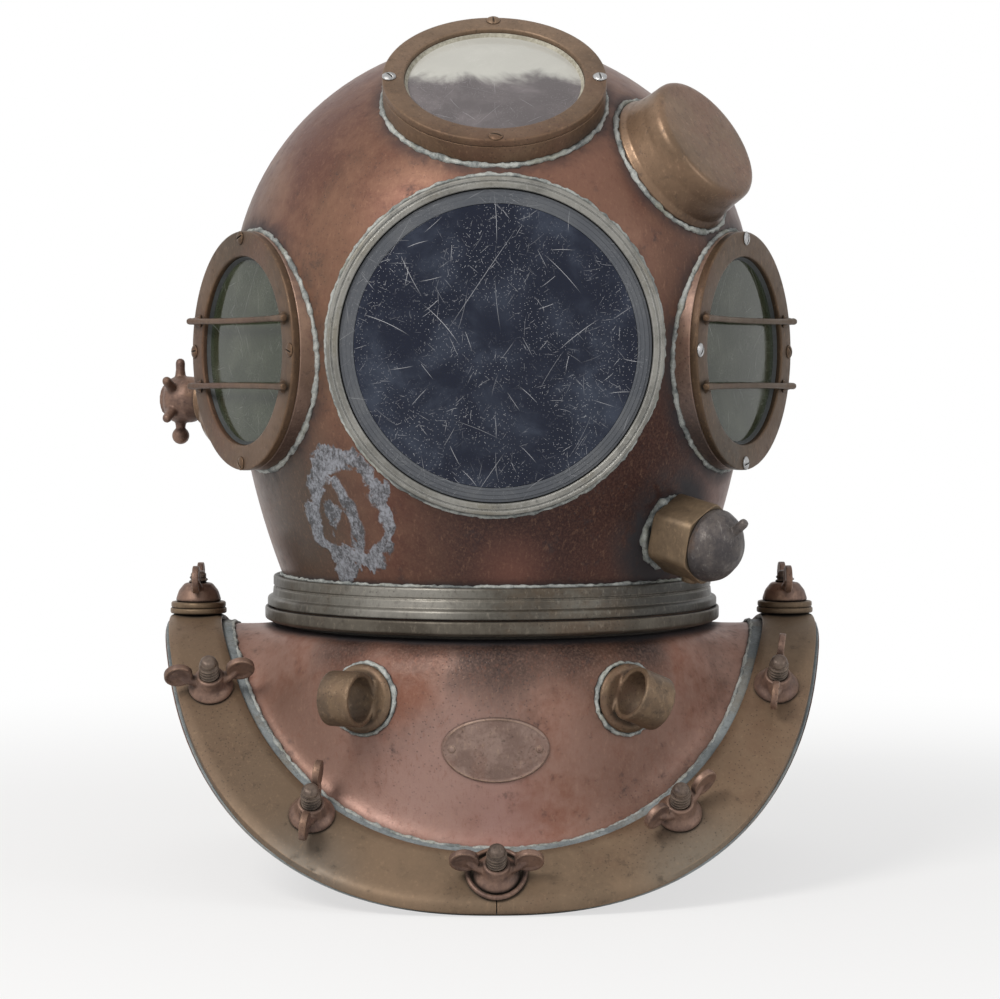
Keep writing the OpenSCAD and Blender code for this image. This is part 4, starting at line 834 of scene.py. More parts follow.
solder = aged_metal("old_solder", (0.46, 0.48, 0.46), (0.15, 0.165, 0.165), (0.34, 0.345, 0.28),
                    (0.05, 0.058, 0.058), (0.62, 0.65, 0.63), cloud=70, metal=0.15, rough=0.55, dents=0.4,
                    corner=0.55)
steel = aged_metal("screw_steel", (0.45, 0.45, 0.45), (0.3, 0.3, 0.3), (0.34, 0.3, 0.26),
                   (0.06, 0.055, 0.05), (0.7, 0.7, 0.7), cloud=90, metal=0.8, rough=0.34)
print("zones of soot under the neck rings:", len(painted_neck_shadow))

# %% [markdown]
# The windows are old and badly scratched. Each scratch is a short line at its own angle: a Voronoi cell
# gives every scratch its own colour, the colour gives its angle, its bend and whether it shows, and the
# distance to the turned line decides where the glass is white.
# %% Scratches
def scratches(t, plane, scale, long, thin, share):
    """White lines, one in some of the cells of a flat pattern."""
    cell = t.cells(plane, scale, "Color")
    middle = t.cells(plane, scale, "Position")
    parts = t.add("ShaderNodeSeparateColor", None, [cell])
    green = Wire(t, parts.socket.node.outputs[1])
    blue = Wire(t, parts.socket.node.outputs[2])
    off = t.vector("MULTIPLY", t.vector("SUBTRACT", plane, middle), (scale, scale, scale))
    turn = parts * (2 * pi)
    away = t.dot(off, t.packed(turn.math("COSINE"), turn.math("SINE"), 0.0))
    reach = t.dot(off, t.packed(turn.math("SINE") * -1.0, turn.math("COSINE"), 0.0))
    away = (away + reach * reach * (green - 0.5) * 0.4).math("ABSOLUTE")
    ends = 1 - t.fade(reach.math("ABSOLUTE"), long * 0.3, long)
    return (1 - t.fade(away, thin * 0.3, thin)) * ends * (blue < share) * (green * 0.8 + 0.2)


print("the scratches are ready")

# %% [markdown]
# A window is dark glass under a pale haze, with its scratches drawn in its own plane; the near black of the
# face window is painted shade, for the dark inside seen through it. Six patterns lie over each other, each
# with a scale, a length, a width and a share of cells that hold a scratch. The finest are found in clusters
# only.
# %% Windows
LONG_MARKS = ((13.0, 0.5, 0.0024, 0.6), (30.0, 0.48, 0.005, 0.65), (62.0, 0.46, 0.009, 0.65))
FINE_MARKS = ((110.0, 0.46, 0.013, 0.6), (190.0, 0.44, 0.018, 0.5), (330.0, 0.3, 0.035, 0.35))
MARK_COLOUR = rgb(0.62, 0.63, 0.66)


def window(name, place, clear, haze, *, painted_reflection=None, cloudy=0.6, alpha=1.0, worn=1.0, rough=0.12):
    """Scratched glass, drawn in the plane of the window; painted_reflection is the colour of a reflection
    painted over its top half.
    """
    material, t, at = new_finish(name)
    axes = place.to_3x3()
    rise = axes @ Vector((0, 1, 0))
    v = t.dot(at, tuple(rise))
    plane = t.packed(t.dot(at, tuple(axes @ Vector((1, 0, 0)))), v, 0.0)
    clouds = t.noise(plane, 26, 5, 0.6, 0.4)
    dust = t.noise(plane, 900, 2, 0.5)
    clustered = t.fade(t.noise(plane, 34, 3, 0.5), 0.36, 0.6)
    marks = scratches(t, plane, *LONG_MARKS[0])
    for mark in LONG_MARKS[1:]:
        marks = marks.math("MAXIMUM", scratches(t, plane, *mark))
    for mark in FINE_MARKS:
        marks = marks.math("MAXIMUM", scratches(t, plane, *mark) * clustered)
    specks = (1 - t.fade(t.cells(plane, 420.0), 0.02, 0.1)) * clustered * 0.8
    marks = marks.math("MAXIMUM", specks) * worn
    fog = t.fade(clouds, 0.42, 0.75) * cloudy + t.fade(dust, 0.6, 0.8) * 0.06
    colour = t.mix(fog, rgb(*clear), rgb(*haze))
    # Painted reflection: the top half of the glass takes a pale colour, as if it mirrored a bright room.
    if painted_reflection:
        middle = place.translation.dot(rise) * MM
        colour = t.mix(t.fade(v - middle + (clouds - 0.5) * 0.05, 0.0, 0.014), colour, rgb(*painted_reflection))
    values = {"Alpha": fog * 0.15 + marks * 0.3 + alpha} if alpha < 1 else {}
    t.surface(Base_Color=t.mix(marks * 0.85, colour, MARK_COLOUR), Roughness=fog * 0.35 + marks * 0.4 + rough,
              Normal=t.bump(clouds - marks * 0.3, 0.25, 0.0002), Specular_IOR_Level=0.3, **values)
    return material


# Painted shade: the face glass is opaque and almost black, in place of the dark inside seen through clear
# glass.
face_glass = window("face_glass", face_port, (0.0, 0.003, 0.016), (0.034, 0.044, 0.068), cloudy=0.95)
bevel_glass = window("bevel_glass", face_port, (0.075, 0.082, 0.095), (0.15, 0.155, 0.16), cloudy=0.5,
                     worn=0.5, rough=0.3)
side_glass = {}
for side, place in side_ports.items():
    side_glass[side] = window(side + "_glass_finish", place, (0.036, 0.045, 0.026), (0.085, 0.095, 0.065),
                              alpha=0.87, worn=0.35, rough=0.06)
# The top window has a painted reflection over its top half.
top_glass = window("top_glass_finish", top_port, (0.13, 0.115, 0.12), (0.26, 0.23, 0.24),
                   painted_reflection=(0.56, 0.56, 0.52), alpha=0.9, worn=0.4, rough=0.08)
print("glass finishes:", 3 + len(side_glass))

# %% [markdown]
# The neck washer is leather, and the windows lie in putty or rubber. One grain serves all of them.
# %% Leather and rubber
def plain_finish(name, light, dark, scale, rough):
    """A matt stuff with a grain: leather, rubber or moulded black."""
    material, t, at = new_finish(name)
    grain = t.noise(at, scale, 6, 0.6)
    cloud = t.noise(at, scale * 0.1, 3, 0.5)
    colour = t.mix(t.fade(grain * 0.6 + cloud * 0.4, 0.38, 0.62), rgb(*dark), rgb(*light))
    t.surface(Base_Color=colour, Roughness=grain * 0.25 + (rough - 0.12), Normal=t.bump(grain, 0.3, 0.0004))
    return material


leather = plain_finish("neck_leather", (0.09, 0.05, 0.03), (0.03, 0.018, 0.012), 900, 0.7)
rubber = plain_finish("gasket_putty", (0.5, 0.48, 0.4), (0.3, 0.28, 0.22), 500, 0.75)
dark_rubber = plain_finish("dark_gasket", (0.03, 0.035, 0.035), (0.012, 0.014, 0.015), 500, 0.6)
moulded = plain_finish("black_moulding", (0.03, 0.028, 0.026), (0.012, 0.012, 0.012), 700, 0.45)
print("soft finishes:", [m.name for m in (leather, rubber, dark_rubber, moulded)])

# %% [markdown]
# The solids that already have the right shape keep it, and only get a finish. That holds for the dome, the
# elbows behind it, the safety catch and everything inside.
# %% Finishes of the carried-over solids
carried = {
    copper: ["bonnet_shell"],
    lining: ["air_ducts"],
    brass: ["air_elbow", "phone_elbow", "catch_bracket", "catch_lever", "check_flap", "flap_pin",
            "exhaust_valve"],
    cup_bronze: ["exhaust_body"],
    steel: ["catch_pin"],
    rubber: ["glass_gaskets"],
    leather: ["neck_washer"],
    moulded: ["phone_receiver"],
}
for finish, names in carried.items():
    for name in names:
        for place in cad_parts[name].material_slots:
            place.material = finish
print("finished:", sum(len(names) for names in carried.values()), "solids")

# %% [markdown]
# Two bronze rings join the bonnet to the breastplate by an eighth of a turn. Each is a turned section with
# soft corners, and the thread lugs are short arcs of the same lathe work.
# %% Neck rings
FINE_TURNS = 160
BONNET_RING_TOP = 18.0
SPIGOT_R = 117.4
RING_BORE_R = 121.8
RING_TOP = -0.4
LUG_SPAN = 42.0
LUGS = 4
LUG_T = 4.5
CATCH_TURN = 140
STOP_TURNS = 2.5

socket_r = dome_at(BONNET_RING_TOP) + 0.1
bonnet_section = [
    (114, -15, 0.6), (SPIGOT_R, -15, 0.6), (SPIGOT_R, 0.5), (134.5, 0.5, 0.9), (134.5, 5.2, 1.9),
    (131.4, 6.4, 0.6), (131, 10.8, 0.4), (130.3, 11.3, 0.3), (130.3, 12.0, 0.3), (131, 12.6, 0.4),
    (131, BONNET_RING_TOP, 1.3), (socket_r, BONNET_RING_TOP), (socket_r, 14), (socket_r - 6, 14),
    (114, 5, 2),
]


def lug_ring(r_in, r_out, z):
    lug = [(r_in, z), (r_out, z), (r_out, z + LUG_T), (r_in, z + LUG_T)]
    return [lathe(lug, 18, k * 360 / LUGS - LUG_SPAN / 2, LUG_SPAN) for k in range(LUGS)]


bonnet_ring = joined(lathe(bonnet_section, FINE_TURNS), *lug_ring(116.4, 121.2, -14.5))
dress(solid("bonnet_neck_ring", *bonnet_ring, finish=ring_bronze), "bonnet", "aged_brass", "bonnet_ring")
plate_section = [
    (RING_BORE_R, -11), (125, -11), (125, -9.5), (132.6, -8.9, 0.8), (136, -7.2, 1.6), (136, RING_TOP, 1.2),
    (132.4, RING_TOP, 0.4), (132.4, -1.85), (124.2, -1.85), (124.2, RING_TOP, 0.3),
    (RING_BORE_R, RING_TOP, 0.4),
]
catch_side = spin(CATCH_TURN + degrees(asin(7 / 139.6)))
stop_section = [(134, -7.4), (142, -7.4, 0.6), (142, -1.4, 0.6), (134, -1.4)]
stop_lug = lathe(stop_section, 4, -90 - STOP_TURNS / 2, STOP_TURNS)
plate_lugs = lug_ring(118, 122.4, -9.0)
plate_ring = joined(lathe(plate_section, FINE_TURNS), *plate_lugs, moved(stop_lug, catch_side))
dress(solid("breastplate_neck_ring", *plate_ring, finish=plate_bronze), "breastplate", "aged_brass",
      "breastplate_ring")

# %% [markdown]
# The face port is a pewter-coloured ring soldered into the dome. Its window is a thick disc with a stepped
# edge, which shows as a grey band round the dark middle, so the edge is a piece of its own.
# %% Face port
FACE_OUT = 145.0
FACE_FOOT = 118
FACE_R = 93.5
FACE_SEAT_R = 86.95
FACE_CLEAR_R = 78.6
FACE_THREAD = 138.85
GLASS_FOOT = 134

body = [(FACE_CLEAR_R, FACE_FOOT), (FACE_R, FACE_FOOT), (FACE_R, FACE_THREAD, 0.4),
        (FACE_SEAT_R, FACE_THREAD), (FACE_SEAT_R, 132.25), (FACE_CLEAR_R, 132.25)]
dress_turned("face_port_body", body, FINE_TURNS, face_port, pewter, "tinned_metal", "front_port_body")
rim = [(FACE_SEAT_R, 139), (FACE_R, 139, 0.4), (FACE_R, FACE_OUT, 1.3), (91.3, FACE_OUT, 0.2), (91.0, 144.5),
       (90.5, 144.5), (90.2, FACE_OUT, 0.2), (FACE_SEAT_R + 0.5, FACE_OUT, 0.5), (FACE_SEAT_R, 144.2)]
dress_turned("face_port_ring", rim, FINE_TURNS, face_port, pewter, "tinned_metal", "front_port_ring")
disc = [(0, GLASS_FOOT), (FACE_CLEAR_R - 0.2, GLASS_FOOT), (FACE_CLEAR_R - 0.2, 144, 0.3), (0, 144)]
dress_turned("face_window", disc, FINE_TURNS, face_port, face_glass, "face_glass", "front_glass")
edge = [(FACE_CLEAR_R - 0.1, GLASS_FOOT), (86.4, GLASS_FOOT), (86.4, 142.8, 0.3), (85.0, 143.0),
        (84.7, 143.4), (82.6, 143.5), (82.3, 143.8), (80.2, 143.9), (79.9, 144.2, 0.1),
        (FACE_CLEAR_R - 0.1, 144.2, 0.2)]
dress_turned("face_window_edge", edge, FINE_TURNS, face_port, bevel_glass, "face_glass", "front_glass")

# %% [markdown]
# The other three windows are held by screwed bezels. One function turns all three from their radius, their
# opening and their distance from the axis: a walled body, a flat ring with worn corners, the glass, and
# the line of putty on it.
# %% Screwed ports
BEZEL_T = 4.5
GASKET_T = 1.6
GLASS_T = 8.0
PORT_WALL = 7.5
PORT_GAP = 0.15
SIDE_OUT = 159.0


def screwed_port(side, place, r, clear, out, inner, wall_finish, glass, putty):
    seat = out - BEZEL_T - GASKET_T - GLASS_T
    top = out - BEZEL_T - PORT_GAP
    bore = r - PORT_WALL
    body = [(clear - 4, inner), (r - 0.4, inner), (r - PORT_GAP, top, 0.6), (bore, top),
            (bore, seat - PORT_GAP), (clear - 4, seat - PORT_GAP)]
    dress_turned(side + "_port_wall", body, 128, place, wall_finish, "aged_brass", side + "_port_body")
    ring = [(clear, out - BEZEL_T, 0.4), (r, out - BEZEL_T, 0.5), (r, out, 1.2), (clear, out, 1.3)]
    dress_turned(side + "_port_bezel", ring, 128, place, bezel_bronze, "aged_brass", side + "_bezel")
    pane = [(0, seat + GASKET_T), (bore - PORT_GAP, seat + GASKET_T), (bore - PORT_GAP, top - 0.1, 0.8),
            (0, top - 0.1)]
    dress_turned(side + "_window", pane, 96, place, glass, "window_glass", side + "_glass")
    line = [(clear - 2.0, top - 0.1), (clear - 0.05, top - 0.1), (clear - 0.05, top + 2.2, 0.5)]
    dress_turned(side + "_putty", line, 96, place, putty, "gasket_rubber")


ports = {"top": (top_port, 63.5, 51.0, 158.7), "left": (side_ports["left"], 69.0, 54.4, SIDE_OUT),
         "right": (side_ports["right"], 69.0, 54.4, SIDE_OUT)}
screwed_port("top", *ports["top"], 137.0, bezel_bronze, top_glass, rubber)
for side, glass in side_glass.items():
    screwed_port(side, *ports[side], 127.0, wall_bronze, glass, dark_rubber)

# %% [markdown]
# Twelve slotted screws hold the bezels. The head is turned as a dome and its slot is cut once, then the
# set-out tree stands it on four points of each bezel. Some were replaced by steel ones over the years.
# %% Bezel screws
SCREW_R = 4.0
SLOT_W = 1.1
SLOT_FLOOR = 0.7
SLOT_TURNS = {"top": (12, 95, 40, 160), "left": (70, 20, 100, 130), "right": (35, 80, 150, 15)}
STEEL_ONES = {"top": (0, 2), "left": (), "right": (1, 2, 3)}


def screw_head():
    dome = [(0, -8), (2, -8), (2, 0.1), (SCREW_R, 0.1), (SCREW_R, 0.5, 0.2), (3.0, 1.15), (1.6, 1.6),
            (0, 1.75)]
    head = solid("screw_head", *lathe(dome, 24))
    slot = [(x, y, z) for x in (-SLOT_W / 2, SLOT_W / 2) for y in (-6, 6) for z in (SLOT_FLOOR, 6)]
    sides = [(0, 1, 3, 2), (4, 6, 7, 5), (0, 4, 5, 1), (2, 3, 7, 6), (0, 2, 6, 4), (1, 5, 7, 3)]
    return cut_out(head, solid("slot", slot, sides), brass)


head = screw_head()
screws = {"steel": [], "brass": []}
for side, (place, r, clear, out) in ports.items():
    for k in range(4):
        stand = spin(90 * k) @ shift(r - SCREW_R, 0, out)
        metal = "steel" if k in STEEL_ONES[side] else "brass"
        screws[metal].append(place @ stand @ spin(SLOT_TURNS[side][k]))
dress(set_out("steel_bezel_screws", head, screws["steel"], steel), "bonnet", "steel_wire", "bezel_screws")
brass_screws = set_out("brass_bezel_screws", head, screws["brass"], bezel_bronze)
dress(brass_screws, "bonnet", "aged_brass", "bezel_screws")
discard(head)

# %% [markdown]
# Two bars guard each side window. They were forged: a rod that bows a little, with a foot at either end
# that spreads on the bezel. The rod and its feet overlap as plain shapes and are melted together.
# %% Guard bars
BAR_R = 1.8
BAR_LIFT = 3.4
BAR_HEIGHTS = (18.0, -20.5)
BAR_BOWS = (-0.7, 0.5)
BAR_CIRCLE = 68.0
FOOT_STEPS = ((0, BAR_LIFT), (-0.8, 1.4), (-2.0, -0.9))


def guard_bar(half, height, bow):
    xs = [-half + 2 * half * i / 16 for i in range(17)]
    path = [Vector((x, height + bow * cos(pi * x / (2 * half)), SIDE_OUT + BAR_LIFT)) for x in xs]
    rod = tube(path, [BAR_R * (1.15 if abs(x) > half - 9 else 1.0) for x in xs], 12)
    feet = []
    for end in (-1, 1):
        x = end * (half - 6)
        down = [Vector((x + end * d, height, SIDE_OUT + z)) for d, z in FOOT_STEPS]
        feet.append(tube(down, [2.0, 2.8, 4.6], 14))
    return joined(rod, *feet)


bars = []
for place in side_ports.values():
    for height, bow in zip(BAR_HEIGHTS, BAR_BOWS):
        half = sqrt(BAR_CIRCLE ** 2 - height ** 2)
        bars.append(moved(guard_bar(half, height, bow), place))
dress(cast("forged_guard_bars", bars, None, bezel_bronze, 0.6), "bonnet", "aged_brass", "guard_bars")

# %% [markdown]
# The telephone cup is a spun cap with a round shoulder and a flared foot. Its section is drawn once, with
# the wall's thickness, so the cup is hollow like the real one.
# %% Telephone cup
CUP_OUT = 179.0
CUP_R = 43
CUP_WALL = 2.5
cup_foot = sqrt(DOME_R ** 2 - CUP_R ** 2)
cup = [(40.5, cup_foot + 1), (CUP_R, cup_foot + 0.2, 0.3), (CUP_R, cup_foot + 2, 0.8),
       (40.8, cup_foot + 5.2, 3), (39.4, CUP_OUT - 12, 8), (39, CUP_OUT, 5.2), (20, CUP_OUT, 4),
       (0, CUP_OUT), (0, CUP_OUT - CUP_WALL), (36.3, CUP_OUT - CUP_WALL, 3.5), (36.3, cup_foot + 5, 2)]
dress_turned("telephone_cup", cup, 120, cup_place, cup_bronze, "aged_brass", "phone_cup")

# %% [markdown]
# The exhaust valve stands on the diver's right. Its case is a solid of the frame, and the diver bleeds air
# by turning a star of blunt arms. The arms taper to soft ends, and the lowest one ends in a ball, so a
# gloved hand knows which way the knob has turned.
# %% Exhaust valve
KNOB_R = 14.6
KNOB_REACH = 22.5
ARMS = 6
ARM_RADII = (4.0, 3.9, 3.3, 2.9, 3.0, 2.4, 0.9)
BALL_R = 5.4
exhaust_at = dome_at(EXHAUST_Z)
exhaust_hi = exhaust_at + 32
knob_mid = exhaust_at + 51.5


def star_knob():
    low, top = exhaust_hi + 6.15, knob_mid + 14
    hub = [(2, low), (KNOB_R - 3.5, low, 1), (KNOB_R - 0.4, knob_mid - 6, 5), (KNOB_R, knob_mid, 3),
           (KNOB_R - 0.6, knob_mid + 6.5, 4), (KNOB_R - 6, top - 3, 3), (5.5, top - 1.2, 2), (4, top, 1.2),
           (2, top)]
    core = [(0, low + 1), (KNOB_R - 5, low + 1), (KNOB_R - 5, top - 2), (0, top - 2)]
    shapes = [lathe(hub, 48), lathe(core, 24)]
    steps = (4, KNOB_R - 2, KNOB_R + 1, KNOB_REACH - 4, KNOB_REACH, KNOB_REACH + 2, KNOB_REACH + 2.9)
    for k in range(ARMS):
        a = radians(-90 + 360 / ARMS * k)
        path = [Vector(polar(s, a, knob_mid + 2)) for s in steps]
        shapes.append(tube(path, ARM_RADII, 14))
        if k == 0:
            half = [(BALL_R * sin(pi * i / 12), -BALL_R * cos(pi * i / 12)) for i in range(13)]
            shapes.append(moved(lathe(half, 24), shift(*path[4])))
    return shapes


knob = cast("exhaust_star_knob", star_knob(), exhaust_place, dark_bronze, 0.55)
dress(knob, "exhaust_control", "dark_bronze", "exhaust_knob")

# %% [markdown]
# The spit cock is a hexagon of brass with a domed cap, which a small pin turns. The hexagon was filed by
# hand, so its edges are a little round: five points are drawn at each corner of the prism.
# %% Spit cock
COCK_FLAT = 21.0
COCK_LEN = 31.0
CORNER_POINTS = 5


def hexagon(inset, z):
    """One level of a hexagonal prism with rounded corners."""
    flat = COCK_FLAT - inset
    points = []
    for k in range(6):
        for j in range(CORNER_POINTS):
            off = j - CORNER_POINTS // 2
            reach = flat / cos(radians(30)) - 1.1 - off ** 2 * 0.08
            points.append(polar(reach, radians(60 * k + 30 + 3.2 * off), z))
    return points


levels = [hexagon(0.8, 3.4), hexagon(0, 4.4), hexagon(0, COCK_LEN - 0.9), hexagon(0.35, COCK_LEN - 0.25),
          hexagon(1.2, COCK_LEN)]
prism = [p for level in levels for p in level], skin(len(levels), 6 * CORNER_POINTS)
root = lathe([(0, -8), (8, -8), (8, 1), (9.5, 3.2, 0.5), (9.5, 4.4), (0, 4.4)], 32)
nozzle = lathe([(2.2, 18), (4.8, 18), (4.8, COCK_FLAT + 2.6), (4.2, COCK_FLAT + 3.5, 0.6),
                (2.2, COCK_FLAT + 3.5)], 28)
nozzle = moved(nozzle, shift(z=COCK_LEN - 10) @ spin(90, "X"))
cock = solid("cock_hexagon", *joined(prism, root, nozzle), cock_place, brass)
dress(cock, "bonnet", "aged_brass", "cock_body")


def cock_handle():
    dome = [(0, COCK_LEN - 8), (7.9, COCK_LEN - 8), (7.9, COCK_LEN + 0.15), (20.6, COCK_LEN + 0.15, 0.8),
            (20.9, COCK_LEN + 3.5, 2), (18.4, COCK_LEN + 9.6, 8), (11.6, COCK_LEN + 15.8, 8),
            (5, COCK_LEN + 18.2, 3), (0, COCK_LEN + 18.5)]
    pin = [(0, 4), (2.75, 4), (2.75, 22.5, 1), (2.2, 24.3, 0.8), (0, 24.5)]
    return [lathe(dome, 72), moved(lathe(pin, 24), shift(z=COCK_LEN + 6) @ spin(-50, "X"))]


pewter_cap = aged_metal("grey_cap", (0.125, 0.108, 0.1), (0.06, 0.054, 0.056), (0.15, 0.09, 0.055),
                        (0.03, 0.03, 0.03), (0.45, 0.43, 0.4), cloud=40, metal=0.35, rough=0.46, dents=0.2)
cap = cast("cock_domed_cap", cock_handle(), cock_place, pewter_cap, 0.45, 2)
dress(cap, "spit_cock", "aged_brass", "cock_cap")

# %% [markdown]
# Behind the helmet the air hose screws on. A union nut with eight flats and a male thread stands at the
# end of the elbow. The thread is a ridge wound round the pipe: four points at each step of the winding,
# and a height that fades in and out over the first and the last turn.
# %% Hose union and cable gland
UNION_R = 17.0
THREAD_R = 13.0
THREAD_STEPS = 28
inlet_down = inlet_place @ past_bend(dome_at(INLET_Z) + 6, 20.0) @ shift(z=18.15)
cable_down = cable_place @ past_bend(dome_at(CABLE_Z) + 4, 14.0) @ shift(z=8.15)


def nut_prism(sides, reach, bore, height):
    """A nut with flats and chamfered corners, bored through."""
    around = angles(sides * 8)
    half = pi / sides
    rings = []
    for r_lift, z in ((-1.4, 0), (0, 1.0), (0, height - 1.0), (-1.4, height)):
        level = []
        for a in around:
            flat = reach * cos(half) / cos(abs((a + half) % (2 * half) - half))
            level.append(polar(min(flat, reach + r_lift), a + half, z))
        rings.append(level)
    rings += [[polar(bore, a + half, z) for a in around] for z in (height, 0)]
    return [p for level in rings for p in level], skin(len(rings), len(around), True)


def screw_thread(r, pitch, z0, z1, depth):
    """A ridge wound round a rod, as one closed solid with a root inside the rod."""
    count = int((z1 - z0) / pitch * THREAD_STEPS)
    points = []
    for i in range(count + 1):
        a = 2 * pi * i / THREAD_STEPS
        z = z0 + (z1 - z0) * i / count
        high = depth * min(1.0, i / THREAD_STEPS, (count - i) / THREAD_STEPS)
        for dr, dz in ((-0.5, -0.46), (high, -0.08), (high, 0.08), (-0.5, 0.46)):
            points.append(polar(r + dr, a, z + dz * pitch))
    return points, skin(count + 1, 4)


barrel = [(8.5, 0.5), (UNION_R - 0.2, 0.5), (UNION_R - 0.2, 9.5), (15.6, 10.2, 0.5), (15.6, 11.2, 0.5),
          (UNION_R, 12, 0.5), (UNION_R, 27.5, 1), (THREAD_R + 0.6, 30, 0.6), (THREAD_R - 1.3, 30.6),
          (THREAD_R - 1.3, 47.2, 1), (8, 48, 0.4), (8, 25), (12.5, 25), (12.5, 3), (8.5, 3)]
union = joined(nut_prism(8, 20, 14, 9), lathe(barrel, 72), screw_thread(THREAD_R - 1.1, 2.6, 32.2, 46, 1.0))
dress(solid("hose_union_piece", *union, inlet_down, brass), "bonnet", "aged_brass", "hose_union")
neck = [(5, 0.5), (10.4, 0.5), (10.4, 10.5, 0.4), (11, 11, 0.4), (11, 14, 1), (8.5, 15, 0.8), (5, 15, 0.5)]
gland = joined(nut_prism(6, 14, 8, 10), lathe(neck, 48))
dress(solid("cable_gland", *gland, cable_down, brass), "bonnet", "aged_brass", "phone_gland")

# %% [markdown]
# The breastplate's copper follows a rule: at every turn round the neck its profile is one cubic curve from
# the neck ring down to the flange, and the flange bends over the shoulders as an arch. The rule that laid
# out the solids is repeated here, with finer steps, so that the sheet is smooth where the light rakes it.
# %% Ovals and arches
ARCH_Z = -95.6
SHELL_TOP_R = 83.7
FLANGE_SLOPE = 46.0
BAND_TOP_R = 85.85
BRAIL_TOP_R = 90.0
BRAIL_OUT = (192.5, 178.5, 2.41)
BRAIL_IN = (161.7, 153.0, 2.21)
BAND_OUT = (194.0, 176.5, 2.41)
BAND_IN = (155.2, 146.5, 2.21)
SHELL_OUT = (194.5, 175.0, 2.41)
SHELL_WALL = 1.6
NECK_R = 125.0
NECK_Z = -11.0


def oval_r(oval, t):
    """Radius of a squarish oval at a turn of t degrees from the front."""
    a, b, square = oval
    s, c = abs(sin(radians(t))) / a, abs(cos(radians(t))) / b
    return (s ** square + c ** square) ** (-1 / square)


def arch_at(y, r):
    """Height of the arch that bends over the shoulders."""
    edge = r * sin(radians(FLANGE_SLOPE))
    if abs(y) <= edge:
        return ARCH_Z + sqrt(r * r - y * y)
    return ARCH_Z + r * cos(radians(FLANGE_SLOPE)) - (abs(y) - edge) * tan(radians(FLANGE_SLOPE))


def on_arch(r, t):
    """The copper's flange r from the neck's axis, t degrees from the front: radius and height."""
    return Vector((r, arch_at(r * cos(radians(t)), SHELL_TOP_R)))


print("the flange is", round(oval_r(SHELL_OUT, 90)), "mm from the axis at the shoulder")

# %% [markdown]
# With the ovals and the arch, the sheet can be asked for any point: its turn, how far down it lies, and how
# far out of the copper. Everything that stands on the chest is placed in this way.
# %% Points of the chest
def flange_start(t):
    return on_arch(oval_r(BAND_IN, t) - 2, t)


def chest(t, s):
    """Radius and height of the copper at turn t, s of the way from the neck to the flange."""
    p0 = Vector((NECK_R, NECK_Z))
    p3 = flange_start(t)
    beyond = on_arch(p3.x + 1, t)
    reach = (p3 - p0).length
    p1 = p0 + reach * Vector((0.33, -0.06))
    p2 = p3 - reach * 0.2 * (beyond - p3).normalized()
    u = 1 - s
    return u ** 3 * p0 + 3 * u * u * s * p1 + 3 * u * s * s * p2 + s ** 3 * p3


def chest_normal(t, s):
    d = chest(t, s + 0.01) - chest(t, s - 0.01)
    return Vector((-d.y, d.x)).normalized()


def at_turn(r, t, z):
    """The spot r from the neck's axis, t degrees from the front and z high."""
    return Vector((r * sin(radians(t)), -r * cos(radians(t)), z))


def on_chest(t, s, off):
    """The frame of a piece that stands on the chest."""
    normal = chest_normal(t, s)
    p = chest(t, s) + off * normal
    return shift(*at_turn(p.x, t, p.y)) @ aim(t, degrees(atan2(normal.y, normal.x)))


def chest_spot(t, s, off):
    """A point off millimetres out of the copper."""
    p = chest(t, s) + off * chest_normal(t, s)
    return at_turn(p.x, t, p.y)


print("the chest reaches", [round(v, 1) for v in flange_start(0)], "in front")

# %% [markdown]
# The sheet is laid out turn by turn: the profile of each turn is carried on along the flange, and the same
# profile is set back by the wall's thickness for the inner face.
# %% Breastplate copper
SHELL_TURNS = 180
SHELL_STEPS = 24
FLANGE_STEPS = 8


def shell_profile(t):
    """Outer and inner profile of the copper at one turn."""
    outer = [chest(t, i / SHELL_STEPS) for i in range(SHELL_STEPS + 1)]
    start, end = flange_start(t).x, oval_r(SHELL_OUT, t)
    outer += [on_arch(start + (end - start) * i / FLANGE_STEPS, t) for i in range(1, FLANGE_STEPS + 1)]
    inner = [outer[0] - Vector((SHELL_WALL, 0))]
    for i in range(1, len(outer)):
        d = outer[min(i + 1, len(outer) - 1)] - outer[i - 1]
        inner.append(outer[i] + SHELL_WALL * Vector((d.y, -d.x)).normalized())
    return outer, inner


def shell_sheet():
    outer, inner = [], []
    for j in range(SHELL_TURNS):
        t = 360 * j / SHELL_TURNS
        above, below = shell_profile(t)
        outer += [at_turn(p.x, t, p.y) for p in above]
        inner += [at_turn(p.x, t, p.y) for p in below]
    rows = SHELL_STEPS + FLANGE_STEPS + 1
    base = len(outer)
    faces = []
    for j in range(SHELL_TURNS):
        a, b = j * rows, (j + 1) % SHELL_TURNS * rows
        for i in range(rows - 1):
            faces.append((a + i, a + i + 1, b + i + 1, b + i))
            faces.append((base + a + i, base + b + i, base + b + i + 1, base + a + i + 1))
        for i in (0, rows - 1):
            faces.append((a + i, b + i, base + b + i, base + a + i))
    return outer + inner, faces


sheet = solid("breastplate_copper", *shell_sheet(), finish=chest_copper)
dress(sheet, "breastplate", "spun_copper", "breastplate_shell")

# %% [markdown]
# Two straps follow the flange: the tinned strip that is soldered to the copper and carries the studs, and
# the brass brails that clamp the suit's collar on it. One function lays a strip between two ovals.
# %% Stud band and brails
BAND_LOW_R = 83.86
BRAIL_LOW_R = 86.0
JOINT_GAP = 0.1
ACROSS = 12


